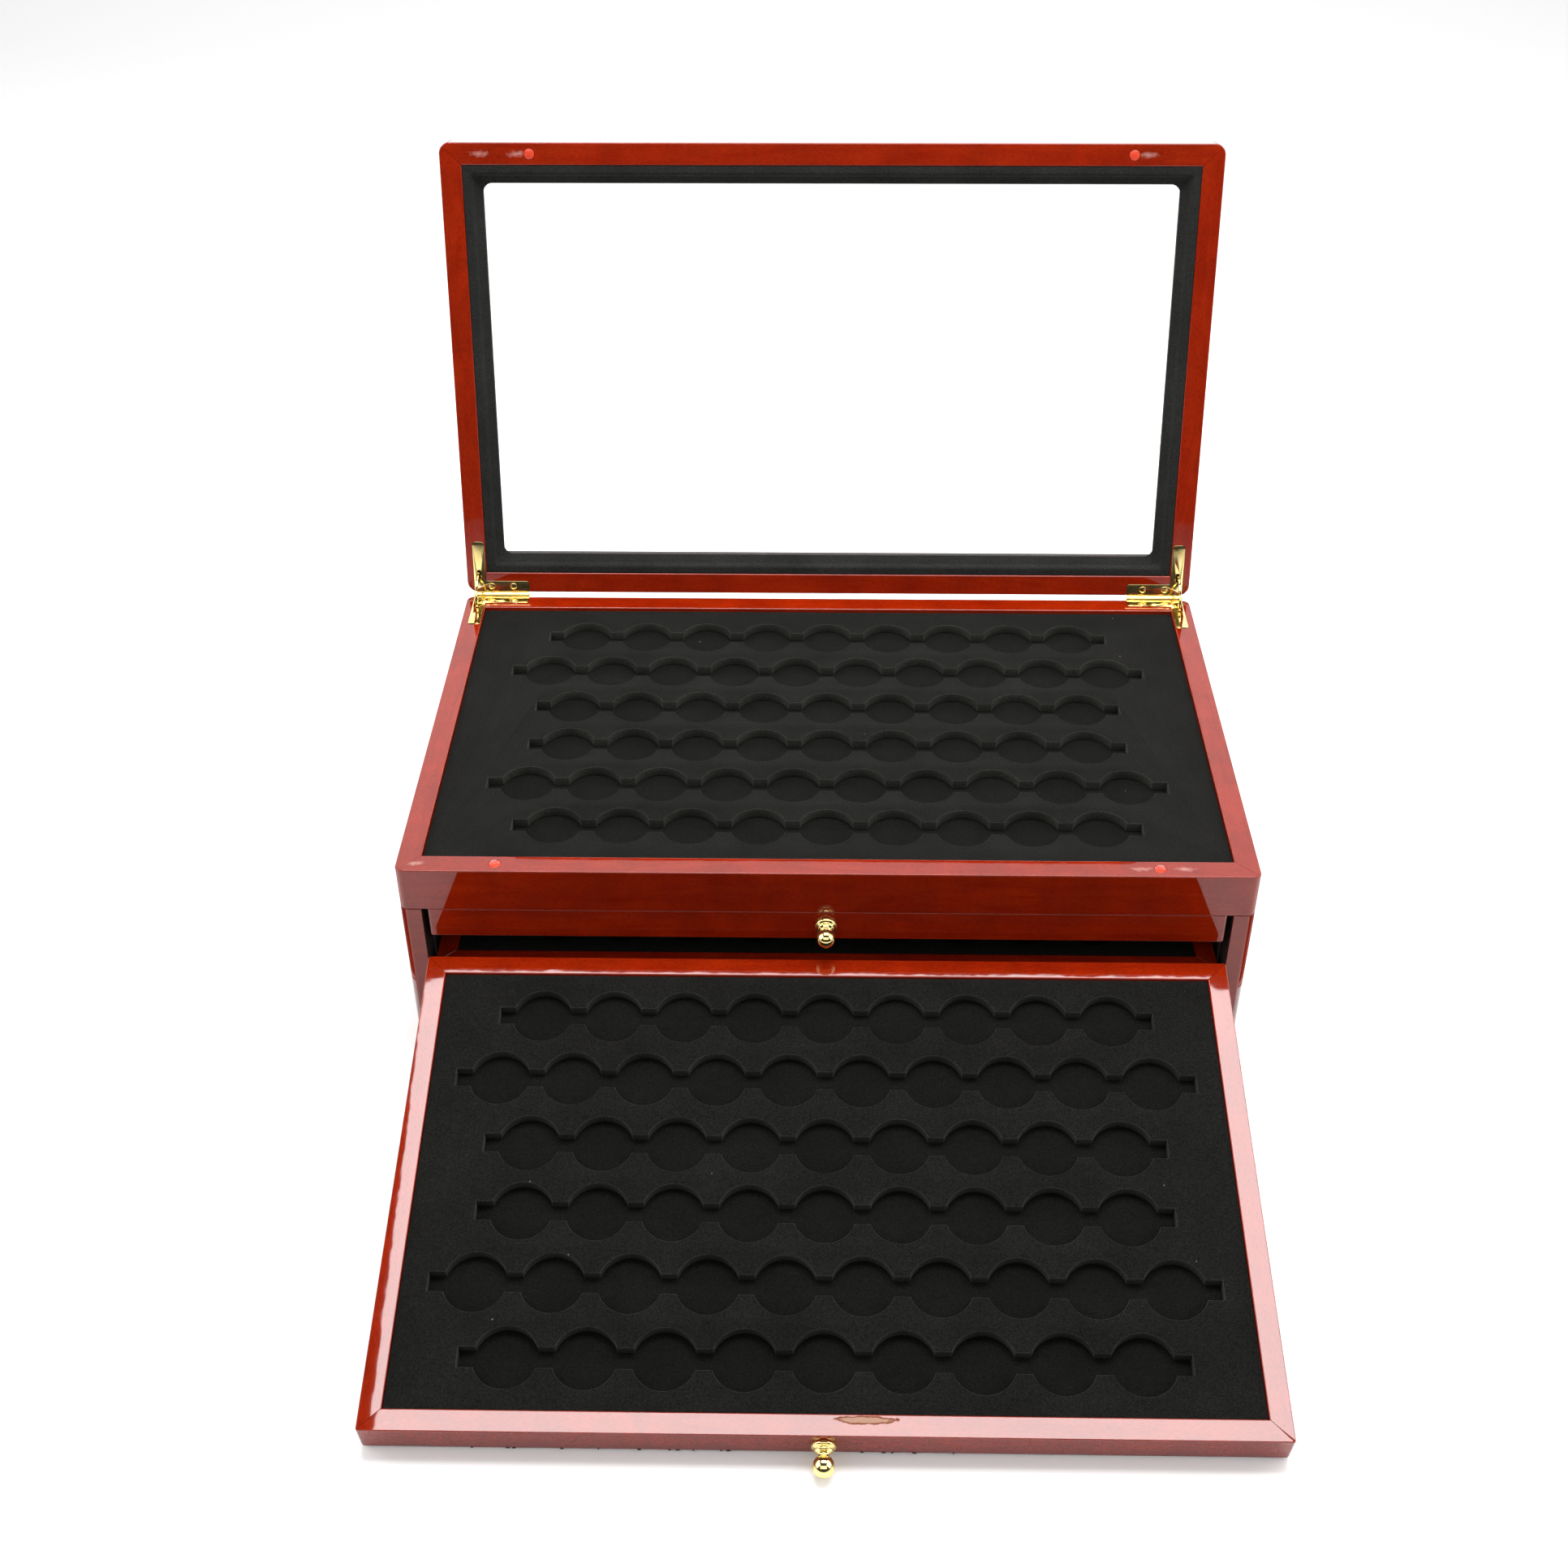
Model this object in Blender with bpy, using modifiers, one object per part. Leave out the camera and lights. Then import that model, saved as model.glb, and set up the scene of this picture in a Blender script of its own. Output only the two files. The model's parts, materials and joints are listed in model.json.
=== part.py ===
"""Coin display tray: a lacquered wood case with a glass lid and shallow coin drawers.

Metres, +Z up.  The origin is the centre of the case's underside, and the case front faces -Y.
The lid stands open.  The second drawer is out: it leans on the third drawer's knob, with its
front edge on the table.  Every piece is drawn where it sits when the case is shut or the drawer
is level, and a parent empty on its joint axis turns it to the open or leaning position.
"""
import math

import bmesh
import bpy
from mathutils import Matrix, Vector

# ---------------------------------------------------------------- driving dimensions
GAP = 0.0003                      # between touching pieces
MITRE_GAP = 0.0002                # each mitred end stops this far short of the corner plane

CASE_W = 0.430
CASE_D = 0.258
CASE_H = 0.122
UPPER_H = 0.025                   # the upper frame, round the top tray
RIM = 0.012                       # its rails' thickness
WALL = 0.011                      # the lower carcass's walls
PLINTH_H = 0.024
BASE_T = 0.006
CORNER_R = 0.004                  # upright corners of the case
CORNER_STEPS = 3                  # flats in each round corner

DRAWER_COUNT = 4
DRAWER_W = 0.402
DRAWER_D = 0.246
DRAWER_H = 0.0175
DRAWER_PITCH = 0.018
DRAWER_RAIL = 0.010
DRAWER_SET_BACK = 0.0006          # the fronts sit this far behind the case front
TOP_CLEARANCE = 0.0005            # above the highest drawer
OUT_DRAWER = 2                    # the drawer that is out, counted from the top
REST_DRAWER = 3                   # its knob carries the drawer that is out
LEAN_AHEAD = 0.0065               # from the case front to the back of the drawer that is out

GROOVE_H = 0.0052                 # runner grooves in the drawers' sides
GROOVE_DEPTH = 0.0042
GROOVE_STOP = 0.012               # solid wood left behind the drawer's front face
RIB_H = 0.0044                    # runner ribs that the grooves slide on
RIB_CLEARANCE = 0.0006            # between a rib's edge and the bottom of its groove
RUNNER_T = 0.001                  # the plate that carries the ribs
RUNNER_SET_BACK = 0.004           # from the plane of the plinth's inner face to the plate's front

BOARD_T = 0.003                   # thin boards under the coin inserts
BOARD_RAISE = 0.0077              # a drawer's board above its underside
BOARD_TENON = 0.0027              # how far a board enters its groove
INSERT_T = 0.0055                 # flocked coin insert
TOP_INSERT_DROP = 0.00195         # below the rim

COIN_ROWS = (9, 10, 9, 9, 10, 9)  # recesses in each row, back to front
COIN_R = 0.01465
COLUMN_PITCH = 0.035
ROW_PITCH = 0.0355
CHANNEL_HALF = 0.0048             # half width of the slot that joins the recesses of a row
TAB = 0.0214                      # from the end recess's centre to the slot's end
ARC_STEPS = 4                     # straight pieces in each half of a recess's edge

LID_T = 0.016
LID_GAP = 0.0003
LID_CORNER_R = 0.006
LID_OPEN = math.radians(103)
LIP = 0.0215                      # from the lid's outer edge to the glass opening
LIP_T = 0.006
GLASS_T = 0.0024
MOULDING_T = 0.0070               # velvet-covered moulding that holds the glass
MOULDING_SLOPE = 0.0075           # how much wider its opening is at the lid's inner face

HINGE_BACK = 0.0018               # hinge axis behind the case back
KNUCKLE_R = 0.0018
KNUCKLE_STEPS = 14
BORE_R = 0.0011
BORE_STEPS = 12
PIN_R = 0.0008
PIN_STEPS = 10
LEAF_T = 0.0012
LEAF_SIDE = 0.0042                # leaf's outer edge, from the case's side
LEAF_ARM_W = 0.0072               # arm along the side rail
LEAF_BACK_W = 0.0068              # arm along the back rail
LEAF_X_END = 0.037
LEAF_Y_END = 0.031
STAY_R = 0.013                    # quadrant stay: middle radius about the hinge axis
STAY_W = 0.0026
STAY_T = 0.0012
STAY_X = 0.0072                   # its middle, from the case's side
STAY_TAIL = math.radians(6)       # it reaches this far past each leaf
STAY_STEPS = 12
MORTISE_DEPTH = 0.0128

CATCH_X = 0.1655                  # magnets in the front rims
CATCH_R = 0.003
CATCH_DEPTH = 0.005
CATCH_STEPS = 14

KNOB_FLANGE_R = 0.0056
KNOB_FLANGE_T = 0.0017
KNOB_FLANGE_EDGE = 0.0008         # the flange is upright this far out, then slopes
KNOB_COLLAR_R = 0.0044            # where the flange meets the foot of the neck
KNOB_FOOT = 0.0012                # the neck widens over this length
KNOB_NECK_R = 0.0025
KNOB_BALL_R = 0.0049
KNOB_BALL_OUT = 0.0098            # ball's centre in front of the drawer front
KNOB_BALL_STEPS = 7               # flats from the ball's tip to the neck
KNOB_STUD_R = 0.0015
KNOB_STUD = 0.006
KNOB_STEPS = 14
MERGE = 0.00005                   # joins the turned profile's ends on its axis

# ---------------------------------------------------------------- derived places
RIM_TOP = CASE_H
UPPER_BOTTOM = CASE_H - UPPER_H
FRONT_Y = -CASE_D / 2
BACK_Y = CASE_D / 2
DRAWER_FRONT_Y = FRONT_Y + DRAWER_SET_BACK
LID_BOTTOM = RIM_TOP + LID_GAP
HINGE_POINT = Vector((0, BACK_Y + HINGE_BACK, RIM_TOP + LID_GAP / 2))
INNER_W = CASE_W / 2 - WALL
LEAN_ROUNDS = 40                  # rounds of the fixed-point search for the leaning angle


def drawer_bottom(number):
    """Height of a drawer's underside in the case; drawer 1 is the highest."""
    return UPPER_BOTTOM - TOP_CLEARANCE - DRAWER_H - (number - 1) * DRAWER_PITCH


def leaning_pose():
    """The leaning drawer's angle, and the pivot that turns its level place into that pose.

    Its underside lies on the ball of the drawer below's knob, and its front edge on the table.
    """
    back_y = FRONT_Y - LEAN_AHEAD
    ball_z = drawer_bottom(REST_DRAWER) + DRAWER_H / 2
    ball_ahead = KNOB_BALL_OUT - DRAWER_SET_BACK - (FRONT_Y - back_y)
    angle = 0.0
    for _ in range(LEAN_ROUNDS):
        rise = ball_z + (KNOB_BALL_R + GAP) / math.cos(angle) + ball_ahead * math.tan(angle) - GAP
        angle = math.asin(rise / DRAWER_D)
    back_z = GAP + DRAWER_D * math.sin(angle)
    level_z = drawer_bottom(OUT_DRAWER)
    reach = (level_z - back_z) / 2 / math.tan(angle / 2)
    pivot = Vector((0, back_y + reach, (level_z + back_z) / 2))
    return angle, pivot, back_y


LEAN, LEAN_PIVOT, LEAN_BACK_Y = leaning_pose()

# ---------------------------------------------------------------- scene helpers
for old in list(bpy.data.objects):
    bpy.data.objects.remove(old, do_unlink=True)

PARTS = bpy.data.collections.new("coin_display_tray")
CUTTERS = bpy.data.collections.new("cutters")
bpy.context.scene.collection.children.link(PARTS)
bpy.context.scene.collection.children.link(CUTTERS)


def material(name, colour, roughness, metallic=0.0, alpha=1.0):
    """A Principled material in one colour."""
    made = bpy.data.materials.new(name)
    made.use_nodes = True
    shader = made.node_tree.nodes["Principled BSDF"]
    shader.inputs["Base Color"].default_value = (*colour, 1.0)
    shader.inputs["Roughness"].default_value = roughness
    shader.inputs["Metallic"].default_value = metallic
    shader.inputs["Alpha"].default_value = alpha
    return made


LACQUER = material("lacquered_wood", (0.30, 0.022, 0.008), 0.12)
DARK_WOOD = material("dark_wood", (0.018, 0.011, 0.009), 0.6)
FLOCK = material("black_flock", (0.019, 0.019, 0.017), 0.95)
VELVET = material("black_velvet", (0.014, 0.015, 0.013), 0.9)
BRASS = material("brass", (0.80, 0.58, 0.18), 0.18, metallic=1.0)
CATCH = material("catch_cap", (0.72, 0.17, 0.05), 0.35)
GLASS = material("clear_glass", (0.92, 0.96, 0.94), 0.02, alpha=0.2)


def empty(name, point, parent=None):
    """A parent for the pieces that turn or slide together, at a point of their joint axis."""
    made = bpy.data.objects.new(name, None)
    made.empty_display_size = 0.02
    PARTS.objects.link(made)
    made.parent = parent
    made.location = Vector(point) - origin_of(parent)
    made["origin"] = tuple(point)
    return made


def origin_of(parent):
    """Where a parent's zero lies in the case's coordinates, with everything shut and level."""
    return Vector(parent["origin"]) if parent else Vector((0, 0, 0))


def add_object(name, mesh, parent=None, looks=None):
    """Link a mesh drawn in the case's coordinates; without looks it is a cutter."""
    made = bpy.data.objects.new(name, mesh)
    made.parent = parent
    made.location = -origin_of(parent)
    if looks:
        PARTS.objects.link(made)
        mesh.materials.append(looks)
    else:
        CUTTERS.objects.link(made)
        made.hide_render = True
        made.display_type = "WIRE"
    return made


def finish_mesh(name, bm):
    """Turn a bmesh with outward faces into a mesh."""
    bmesh.ops.recalc_face_normals(bm, faces=bm.faces)
    mesh = bpy.data.meshes.new(name)
    bm.to_mesh(mesh)
    bm.free()
    return mesh


def box(name, low, high, parent=None, looks=None):
    """A box between two corners."""
    low, high = Vector(low), Vector(high)
    bm = bmesh.new()
    bmesh.ops.create_cube(bm, size=1.0)
    bmesh.ops.scale(bm, vec=high - low, verts=bm.verts)
    bmesh.ops.translate(bm, vec=(low + high) / 2, verts=bm.verts)
    return add_object(name, finish_mesh(name, bm), parent, looks)


def rod(name, radius, start, end, segments, parent=None, looks=None):
    """A round bar between two points."""
    start, end = Vector(start), Vector(end)
    turn = (end - start).to_track_quat("Z", "Y").to_matrix().to_4x4()
    bm = bmesh.new()
    bmesh.ops.create_cone(bm, cap_ends=True, segments=segments, radius1=radius, radius2=radius,
                          depth=(end - start).length,
                          matrix=Matrix.Translation((start + end) / 2) @ turn)
    return add_object(name, finish_mesh(name, bm), parent, looks)


def prisms(name, outlines, low, high, axis="Z", parent=None, looks=None):
    """Extrude flat outlines along an axis, from low to high, into one mesh."""
    bm = bmesh.new()
    for outline in outlines:
        if axis == "Z":
            verts = [bm.verts.new((a, b, low)) for a, b in outline]
            travel = (0, 0, high - low)
        else:
            verts = [bm.verts.new((low, a, b)) for a, b in outline]
            travel = (high - low, 0, 0)
        face = bm.faces.new(verts)
        grown = bmesh.ops.extrude_face_region(bm, geom=[face])["geom"]
        moved = [item for item in grown if isinstance(item, bmesh.types.BMVert)]
        bmesh.ops.translate(bm, vec=travel, verts=moved)
    return add_object(name, finish_mesh(name, bm), parent, looks)


def boolean(piece, tool, operation="DIFFERENCE"):
    """Cut, join or intersect one piece with a cutter."""
    modifier = piece.modifiers.new(operation.lower(), "BOOLEAN")
    modifier.operation = operation
    modifier.object = tool


def rail(name, length, distance, side, outline, mitres, parent=None, looks=LACQUER):
    """One rail of a rectangular frame.

    outline lists (inward, height) points from the rail's outer face, which stands at distance
    from the frame's centre.  side counts quarter turns from the front.  mitres says which of its
    two ends, left and right as seen from outside, is cut at 45 degrees.
    """
    bm = bmesh.new()
    ends = []
    for sign, mitred in zip((-1, 1), mitres):
        loop = []
        for inward, height in outline:
            reach = length / 2 - (inward + MITRE_GAP if mitred else 0)
            loop.append(bm.verts.new((sign * reach, -distance + inward, height)))
        ends.append(loop)
        bm.faces.new(loop)
    for i in range(len(outline)):
        j = (i + 1) % len(outline)
        bm.faces.new((ends[0][i], ends[0][j], ends[1][j], ends[1][i]))
    bmesh.ops.rotate(bm, matrix=Matrix.Rotation(side * math.pi / 2, 3, "Z"), verts=bm.verts)
    return add_object(name, finish_mesh(name, bm), parent, looks)


SIDES = {"front": 0, "right": 1, "back": 2, "left": 3}


def frame(prefix, width, depth, outline, centre_y=0.0, parent=None):
    """Four mitred rails round a rectangle; returns them by side."""
    rails = {}
    for side, turns in SIDES.items():
        along, across = (width, depth) if turns % 2 == 0 else (depth, width)
        made = rail(f"{prefix}_{side}", along, across / 2, turns, outline, (True, True), parent)
        made.data.transform(Matrix.Translation((0, centre_y, 0)))
        rails[side] = made
    return rails


def rounded_block(name, width, depth, low, high, radius, parent=None):
    """A block with round upright corners, which trims a frame's corners."""
    block = box(name, (-width / 2, -depth / 2, low), (width / 2, depth / 2, high), parent)
    upright = bmesh.new()
    upright.from_mesh(block.data)
    edges = [e for e in upright.edges if abs(e.verts[0].co.z - e.verts[1].co.z) > GAP]
    bmesh.ops.bevel(upright, geom=edges, offset=radius, segments=CORNER_STEPS, profile=0.5,
                    affect="EDGES")
    upright.to_mesh(block.data)
    upright.free()
    return block


# ---------------------------------------------------------------- coin inserts
def row_outline(count, y):
    """A row's slot: round recesses joined by a straight channel, with a tab at each end.

    The flats of a recess touch its true circle from outside, so a coin of that size fits.
    """
    join = math.asin(CHANNEL_HALF / COIN_R)
    step_angle = (math.pi - 2 * join) / ARC_STEPS
    centres = [(i - (count - 1) / 2) * COLUMN_PITCH for i in range(count)]
    end = centres[-1] + TAB
    half = []
    for x in centres:
        for step in range(ARC_STEPS + 1):
            angle = math.pi - join - step_angle * step
            at_channel = step in (0, ARC_STEPS)
            radius = COIN_R if at_channel else COIN_R / math.cos(step_angle / 2)
            half.append((x + radius * math.cos(angle), radius * math.sin(angle)))
    upper = [(-end, CHANNEL_HALF)] + half + [(end, CHANNEL_HALF)]
    lower = [(-a, -b) for a, b in upper]
    return [(a, y + b) for a, b in upper + lower]


def coin_insert(name, width, depth, low, centre_y=0.0, parent=None):
    """The flocked sheet that holds the coins, cut through by its rows of recesses."""
    high = low + INSERT_T
    sheet = box(name, (-width / 2, centre_y - depth / 2, low),
                (width / 2, centre_y + depth / 2, high), parent, FLOCK)
    middle = (len(COIN_ROWS) - 1) / 2
    outlines = [row_outline(count, centre_y + (middle - row) * ROW_PITCH)
                for row, count in enumerate(COIN_ROWS)]
    boolean(sheet, prisms(name + "_rows", outlines, low - GAP, high + GAP, parent=parent))


def board(name, width, depth, low, rails, centre_y=0.0, parent=None):
    """A thin board whose edges stand in a groove round the inside of four rails."""
    half_w, half_d = width / 2 + BOARD_TENON, depth / 2 + BOARD_TENON
    box(name, (-half_w, centre_y - half_d, low), (half_w, centre_y + half_d, low + BOARD_T),
        parent, DARK_WOOD)
    groove = box(name + "_groove", (-half_w - GAP, centre_y - half_d - GAP, low - GAP),
                 (half_w + GAP, centre_y + half_d + GAP, low + BOARD_T + GAP), parent)
    for piece in rails.values():
        boolean(piece, groove)


# ---------------------------------------------------------------- case
def build_case():
    """Upper frame, its deck and insert, and the lower carcass with the runners."""
    section = [(0, UPPER_BOTTOM), (RIM, UPPER_BOTTOM), (RIM, RIM_TOP), (0, RIM_TOP)]
    rails = frame("upper_frame", CASE_W, CASE_D, section)
    corners = rounded_block("case_corners", CASE_W, CASE_D, -CASE_H, 2 * CASE_H, CORNER_R)
    for piece in rails.values():
        boolean(piece, corners, "INTERSECT")

    inside_w, inside_d = CASE_W - 2 * RIM, CASE_D - 2 * RIM
    insert_low = RIM_TOP - TOP_INSERT_DROP - INSERT_T
    coin_insert("top_insert", inside_w - 2 * GAP, inside_d - 2 * GAP, insert_low)
    board("top_deck", inside_w, inside_d, insert_low - GAP - BOARD_T, rails)

    top = UPPER_BOTTOM - GAP
    wall = [(0, 0), (WALL, 0), (WALL, top), (0, top)]
    left = rail("case_side_left", CASE_D, CASE_W / 2, SIDES["left"], wall, (True, False))
    right = rail("case_side_right", CASE_D, CASE_W / 2, SIDES["right"], wall, (False, True))
    back = rail("case_back", CASE_W, CASE_D / 2, SIDES["back"], wall, (True, True))
    for piece in (left, right, back):
        boolean(piece, corners, "INTERSECT")
    inner = INNER_W - GAP
    box("case_plinth", (-inner, FRONT_Y, 0), (inner, FRONT_Y + WALL, PLINTH_H), looks=LACQUER)
    box("case_base", (-inner, FRONT_Y + WALL + GAP, 0), (inner, BACK_Y - WALL - GAP, BASE_T),
        looks=DARK_WOOD)
    build_runners()
    return rails


def build_runners():
    """A ribbed plate on each wall; the drawers' grooves slide on its ribs."""
    start, end = FRONT_Y + WALL + RUNNER_SET_BACK, BACK_Y - WALL - GAP
    plate = INNER_W - GAP - RUNNER_T
    tip = DRAWER_W / 2 - GROOVE_DEPTH + RIB_CLEARANCE
    low, high = drawer_bottom(DRAWER_COUNT), UPPER_BOTTOM - 2 * GAP
    for name, sign in (("runner_left", -1), ("runner_right", 1)):
        edge = [(INNER_W - GAP, high), (INNER_W - GAP, low), (plate, low)]
        for number in range(DRAWER_COUNT, 0, -1):
            middle = drawer_bottom(number) + DRAWER_H / 2
            under, over = middle - RIB_H / 2, middle + RIB_H / 2
            edge += [(plate, under), (tip, under), (tip, over), (plate, over)]
        edge.append((plate, high))
        runner = prisms(name, [edge], 0, end - start, axis="X", looks=DARK_WOOD)
        turn = Matrix(((0, sign, 0, 0), (1, 0, 0, start), (0, 0, 1, 0), (0, 0, 0, 1)))
        runner.data.transform(turn)
        if turn.determinant() < 0:
            runner.data.flip_normals()


# ---------------------------------------------------------------- lid and hinges
def build_lid(hinge):
    """Lid rails with a lip, the glass under the lip, and the moulding that holds it."""
    glass_low = LID_BOTTOM + MOULDING_T + GAP
    lip_low = LID_BOTTOM + LID_T - LIP_T
    lid_top = LID_BOTTOM + LID_T
    section = [(0, LID_BOTTOM), (RIM, LID_BOTTOM), (RIM, lip_low), (LIP, lip_low),
               (LIP, lid_top), (0, lid_top)]
    rails = frame("lid_rail", CASE_W, CASE_D, section, parent=hinge)
    corners = rounded_block("lid_corners", CASE_W, CASE_D, LID_BOTTOM - CASE_H,
                            lid_top + CASE_H, LID_CORNER_R, hinge)
    for piece in rails.values():
        boolean(piece, corners, "INTERSECT")
    half_w, half_d = CASE_W / 2 - RIM - GAP, CASE_D / 2 - RIM - GAP
    box("lid_glass", (-half_w, -half_d, glass_low), (half_w, half_d, glass_low + GLASS_T),
        hinge, GLASS)

    moulding = box("lid_moulding", (-half_w, -half_d, LID_BOTTOM),
                   (half_w, half_d, LID_BOTTOM + MOULDING_T), hinge, VELVET)
    open_w, open_d = CASE_W / 2 - LIP, CASE_D / 2 - LIP
    opening = box("lid_opening", (-open_w, -open_d, LID_BOTTOM),
                  (open_w, open_d, LID_BOTTOM + MOULDING_T), hinge)
    for vert in opening.data.vertices:
        at_inner_face = vert.co.z < LID_BOTTOM + MOULDING_T / 2
        spread = MOULDING_SLOPE if at_inner_face else 0
        vert.co.x += math.copysign(spread, vert.co.x)
        vert.co.y += math.copysign(spread, vert.co.y)
        vert.co.z += -GAP if at_inner_face else GAP
    boolean(moulding, opening)
    return rails


def leaf_outline(sign, grow=0.0):
    """L-shaped leaf: an arm along the back rail and one along the side rail."""
    side, back = CASE_W / 2 - LEAF_SIDE + grow, BACK_Y + grow
    arm = CASE_W / 2 - LEAF_SIDE - LEAF_ARM_W - grow
    points = [(side, back), (CASE_W / 2 - LEAF_X_END - grow, back),
              (CASE_W / 2 - LEAF_X_END - grow, BACK_Y - LEAF_BACK_W - grow),
              (arm, BACK_Y - LEAF_BACK_W - grow), (arm, BACK_Y - LEAF_Y_END - grow),
              (side, BACK_Y - LEAF_Y_END - grow)]
    return [(sign * x, y) for x, y in points]


def build_leaf(name, sign, way, knuckles, rails, parent=None):
    """A hinge leaf let into two rails, with its knuckles on the hinge axis.

    way is -1 for the case's leaf, sunk into the rim below it, and 1 for the lid's.
    """
    face = RIM_TOP if way < 0 else LID_BOTTOM
    low = min(face, face + way * LEAF_T)
    leaf = prisms(name, [leaf_outline(sign)], low, low + LEAF_T, parent=parent, looks=BRASS)
    axis_y, axis_z = HINGE_POINT.y, HINGE_POINT.z
    for i, (start, end) in enumerate(knuckles):
        near, far = sign * (CASE_W / 2 - start), sign * (CASE_W / 2 - end)
        tongue = box(f"{name}_tongue_{i}", (min(near, far), BACK_Y - LEAF_T, low),
                     (max(near, far), BACK_Y + HINGE_BACK - BORE_R, low + LEAF_T), parent)
        boolean(leaf, tongue, "UNION")
        knuckle = rod(f"{name}_knuckle_{i}", KNUCKLE_R, (near, axis_y, axis_z),
                      (far, axis_y, axis_z), KNUCKLE_STEPS, parent)
        boolean(leaf, knuckle, "UNION")
    outer, inner = CASE_W / 2 - LEAF_SIDE + GAP, CASE_W / 2 - LEAF_X_END - GAP
    bore = rod(name + "_bore", BORE_R, (sign * outer, axis_y, axis_z),
               (sign * inner, axis_y, axis_z), BORE_STEPS, parent)
    boolean(leaf, bore)

    pocket = prisms(name + "_pocket", [leaf_outline(sign, GAP)], low - GAP, low + LEAF_T + GAP,
                    parent=parent)
    mortise = stay_mortise(name, sign, way, parent)
    boolean(leaf, mortise)
    for side in ("back", "left" if sign < 0 else "right"):
        boolean(rails[side], pocket)
        boolean(rails[side], mortise)


def stay_mortise(name, sign, way, parent):
    """The slot that the quadrant stay slides in, sunk from the face where the leaf lies."""
    half = STAY_T / 2 + GAP
    x = sign * (CASE_W / 2 - STAY_X)
    reach = math.cos(LID_OPEN / 2 + STAY_TAIL)
    near = HINGE_POINT.y - (STAY_R - STAY_W / 2) * reach + 2 * GAP
    far = HINGE_POINT.y - STAY_R - STAY_W / 2 - 2 * GAP
    face, floor = HINGE_POINT.z - way * GAP, HINGE_POINT.z + way * MORTISE_DEPTH
    return box(name + "_mortise", (x - half, far, min(face, floor)),
               (x + half, near, max(face, floor)), parent)


def build_stay(name, sign, parent):
    """A thin arc about the hinge axis, which ends in the mortises of case and lid."""
    inner, outer = STAY_R - STAY_W / 2, STAY_R + STAY_W / 2
    span = LID_OPEN + 2 * STAY_TAIL
    angles = [-STAY_TAIL + span * i / STAY_STEPS for i in range(STAY_STEPS + 1)]
    outline = [(HINGE_POINT.y - outer * math.cos(a), HINGE_POINT.z + outer * math.sin(a))
               for a in angles]
    outline += [(HINGE_POINT.y - inner * math.cos(a), HINGE_POINT.z + inner * math.sin(a))
                for a in reversed(angles)]
    middle = sign * (CASE_W / 2 - STAY_X)
    prisms(name, [outline], middle - STAY_T / 2, middle + STAY_T / 2, axis="X",
           parent=parent, looks=BRASS)


def build_hinge(label, sign, case_rails, lid_rails, lid_hinge):
    """Case leaf, lid leaf, pin and quadrant stay of one corner."""
    third = (LEAF_X_END - LEAF_SIDE) / 3
    marks = [LEAF_SIDE + third * i for i in range(4)]
    outer_pair = [(marks[0], marks[1] - GAP), (marks[2] + GAP, marks[3])]
    middle = [(marks[1], marks[2])]
    build_leaf(f"hinge_case_leaf_{label}", sign, -1, outer_pair, case_rails)
    build_leaf(f"hinge_lid_leaf_{label}", sign, 1, middle, lid_rails, lid_hinge)
    ends = [(sign * (CASE_W / 2 - mark), HINGE_POINT.y, HINGE_POINT.z)
            for mark in (marks[0] + GAP, marks[3] - GAP)]
    rod(f"hinge_pin_{label}", PIN_R, *ends, PIN_STEPS, looks=BRASS)
    stay = empty(f"stay_{label}_pivot", HINGE_POINT)
    build_stay(f"hinge_stay_{label}", sign, stay)


def build_catches(case_rails, lid_rails, lid_hinge):
    """Capped magnets let into the front rims of case and lid, face to face when shut."""
    y = FRONT_Y + RIM / 2
    for label, sign in (("left", -1), ("right", 1)):
        x = sign * CATCH_X
        spots = (("case", RIM_TOP, -1, case_rails, None), ("lid", LID_BOTTOM, 1, lid_rails, lid_hinge))
        for where, face, way, rails, parent in spots:
            rod(f"catch_{where}_{label}", CATCH_R, (x, y, face),
                (x, y, face + way * CATCH_DEPTH), CATCH_STEPS, parent, CATCH)
            hole = rod(f"catch_{where}_{label}_hole", CATCH_R + GAP, (x, y, face - way * GAP),
                       (x, y, face + way * (CATCH_DEPTH + GAP)), CATCH_STEPS, parent)
            boolean(rails["front"], hole)


# ---------------------------------------------------------------- drawers
def knob_profile():
    """Half outline (radius, height) from the ball's tip down to the stud's end."""
    points = [(0, KNOB_BALL_OUT + KNOB_BALL_R)]
    neck = math.asin(KNOB_NECK_R / KNOB_BALL_R)
    for i in range(1, KNOB_BALL_STEPS + 1):
        angle = (math.pi - neck) * i / KNOB_BALL_STEPS
        points.append((KNOB_BALL_R * math.sin(angle),
                       KNOB_BALL_OUT + KNOB_BALL_R * math.cos(angle)))
    points += [(KNOB_NECK_R, KNOB_FLANGE_T + KNOB_FOOT), (KNOB_COLLAR_R, KNOB_FLANGE_T),
               (KNOB_FLANGE_R, KNOB_FLANGE_EDGE), (KNOB_FLANGE_R, GAP), (KNOB_STUD_R, GAP),
               (KNOB_STUD_R, -KNOB_STUD), (0, -KNOB_STUD)]
    return points


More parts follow.
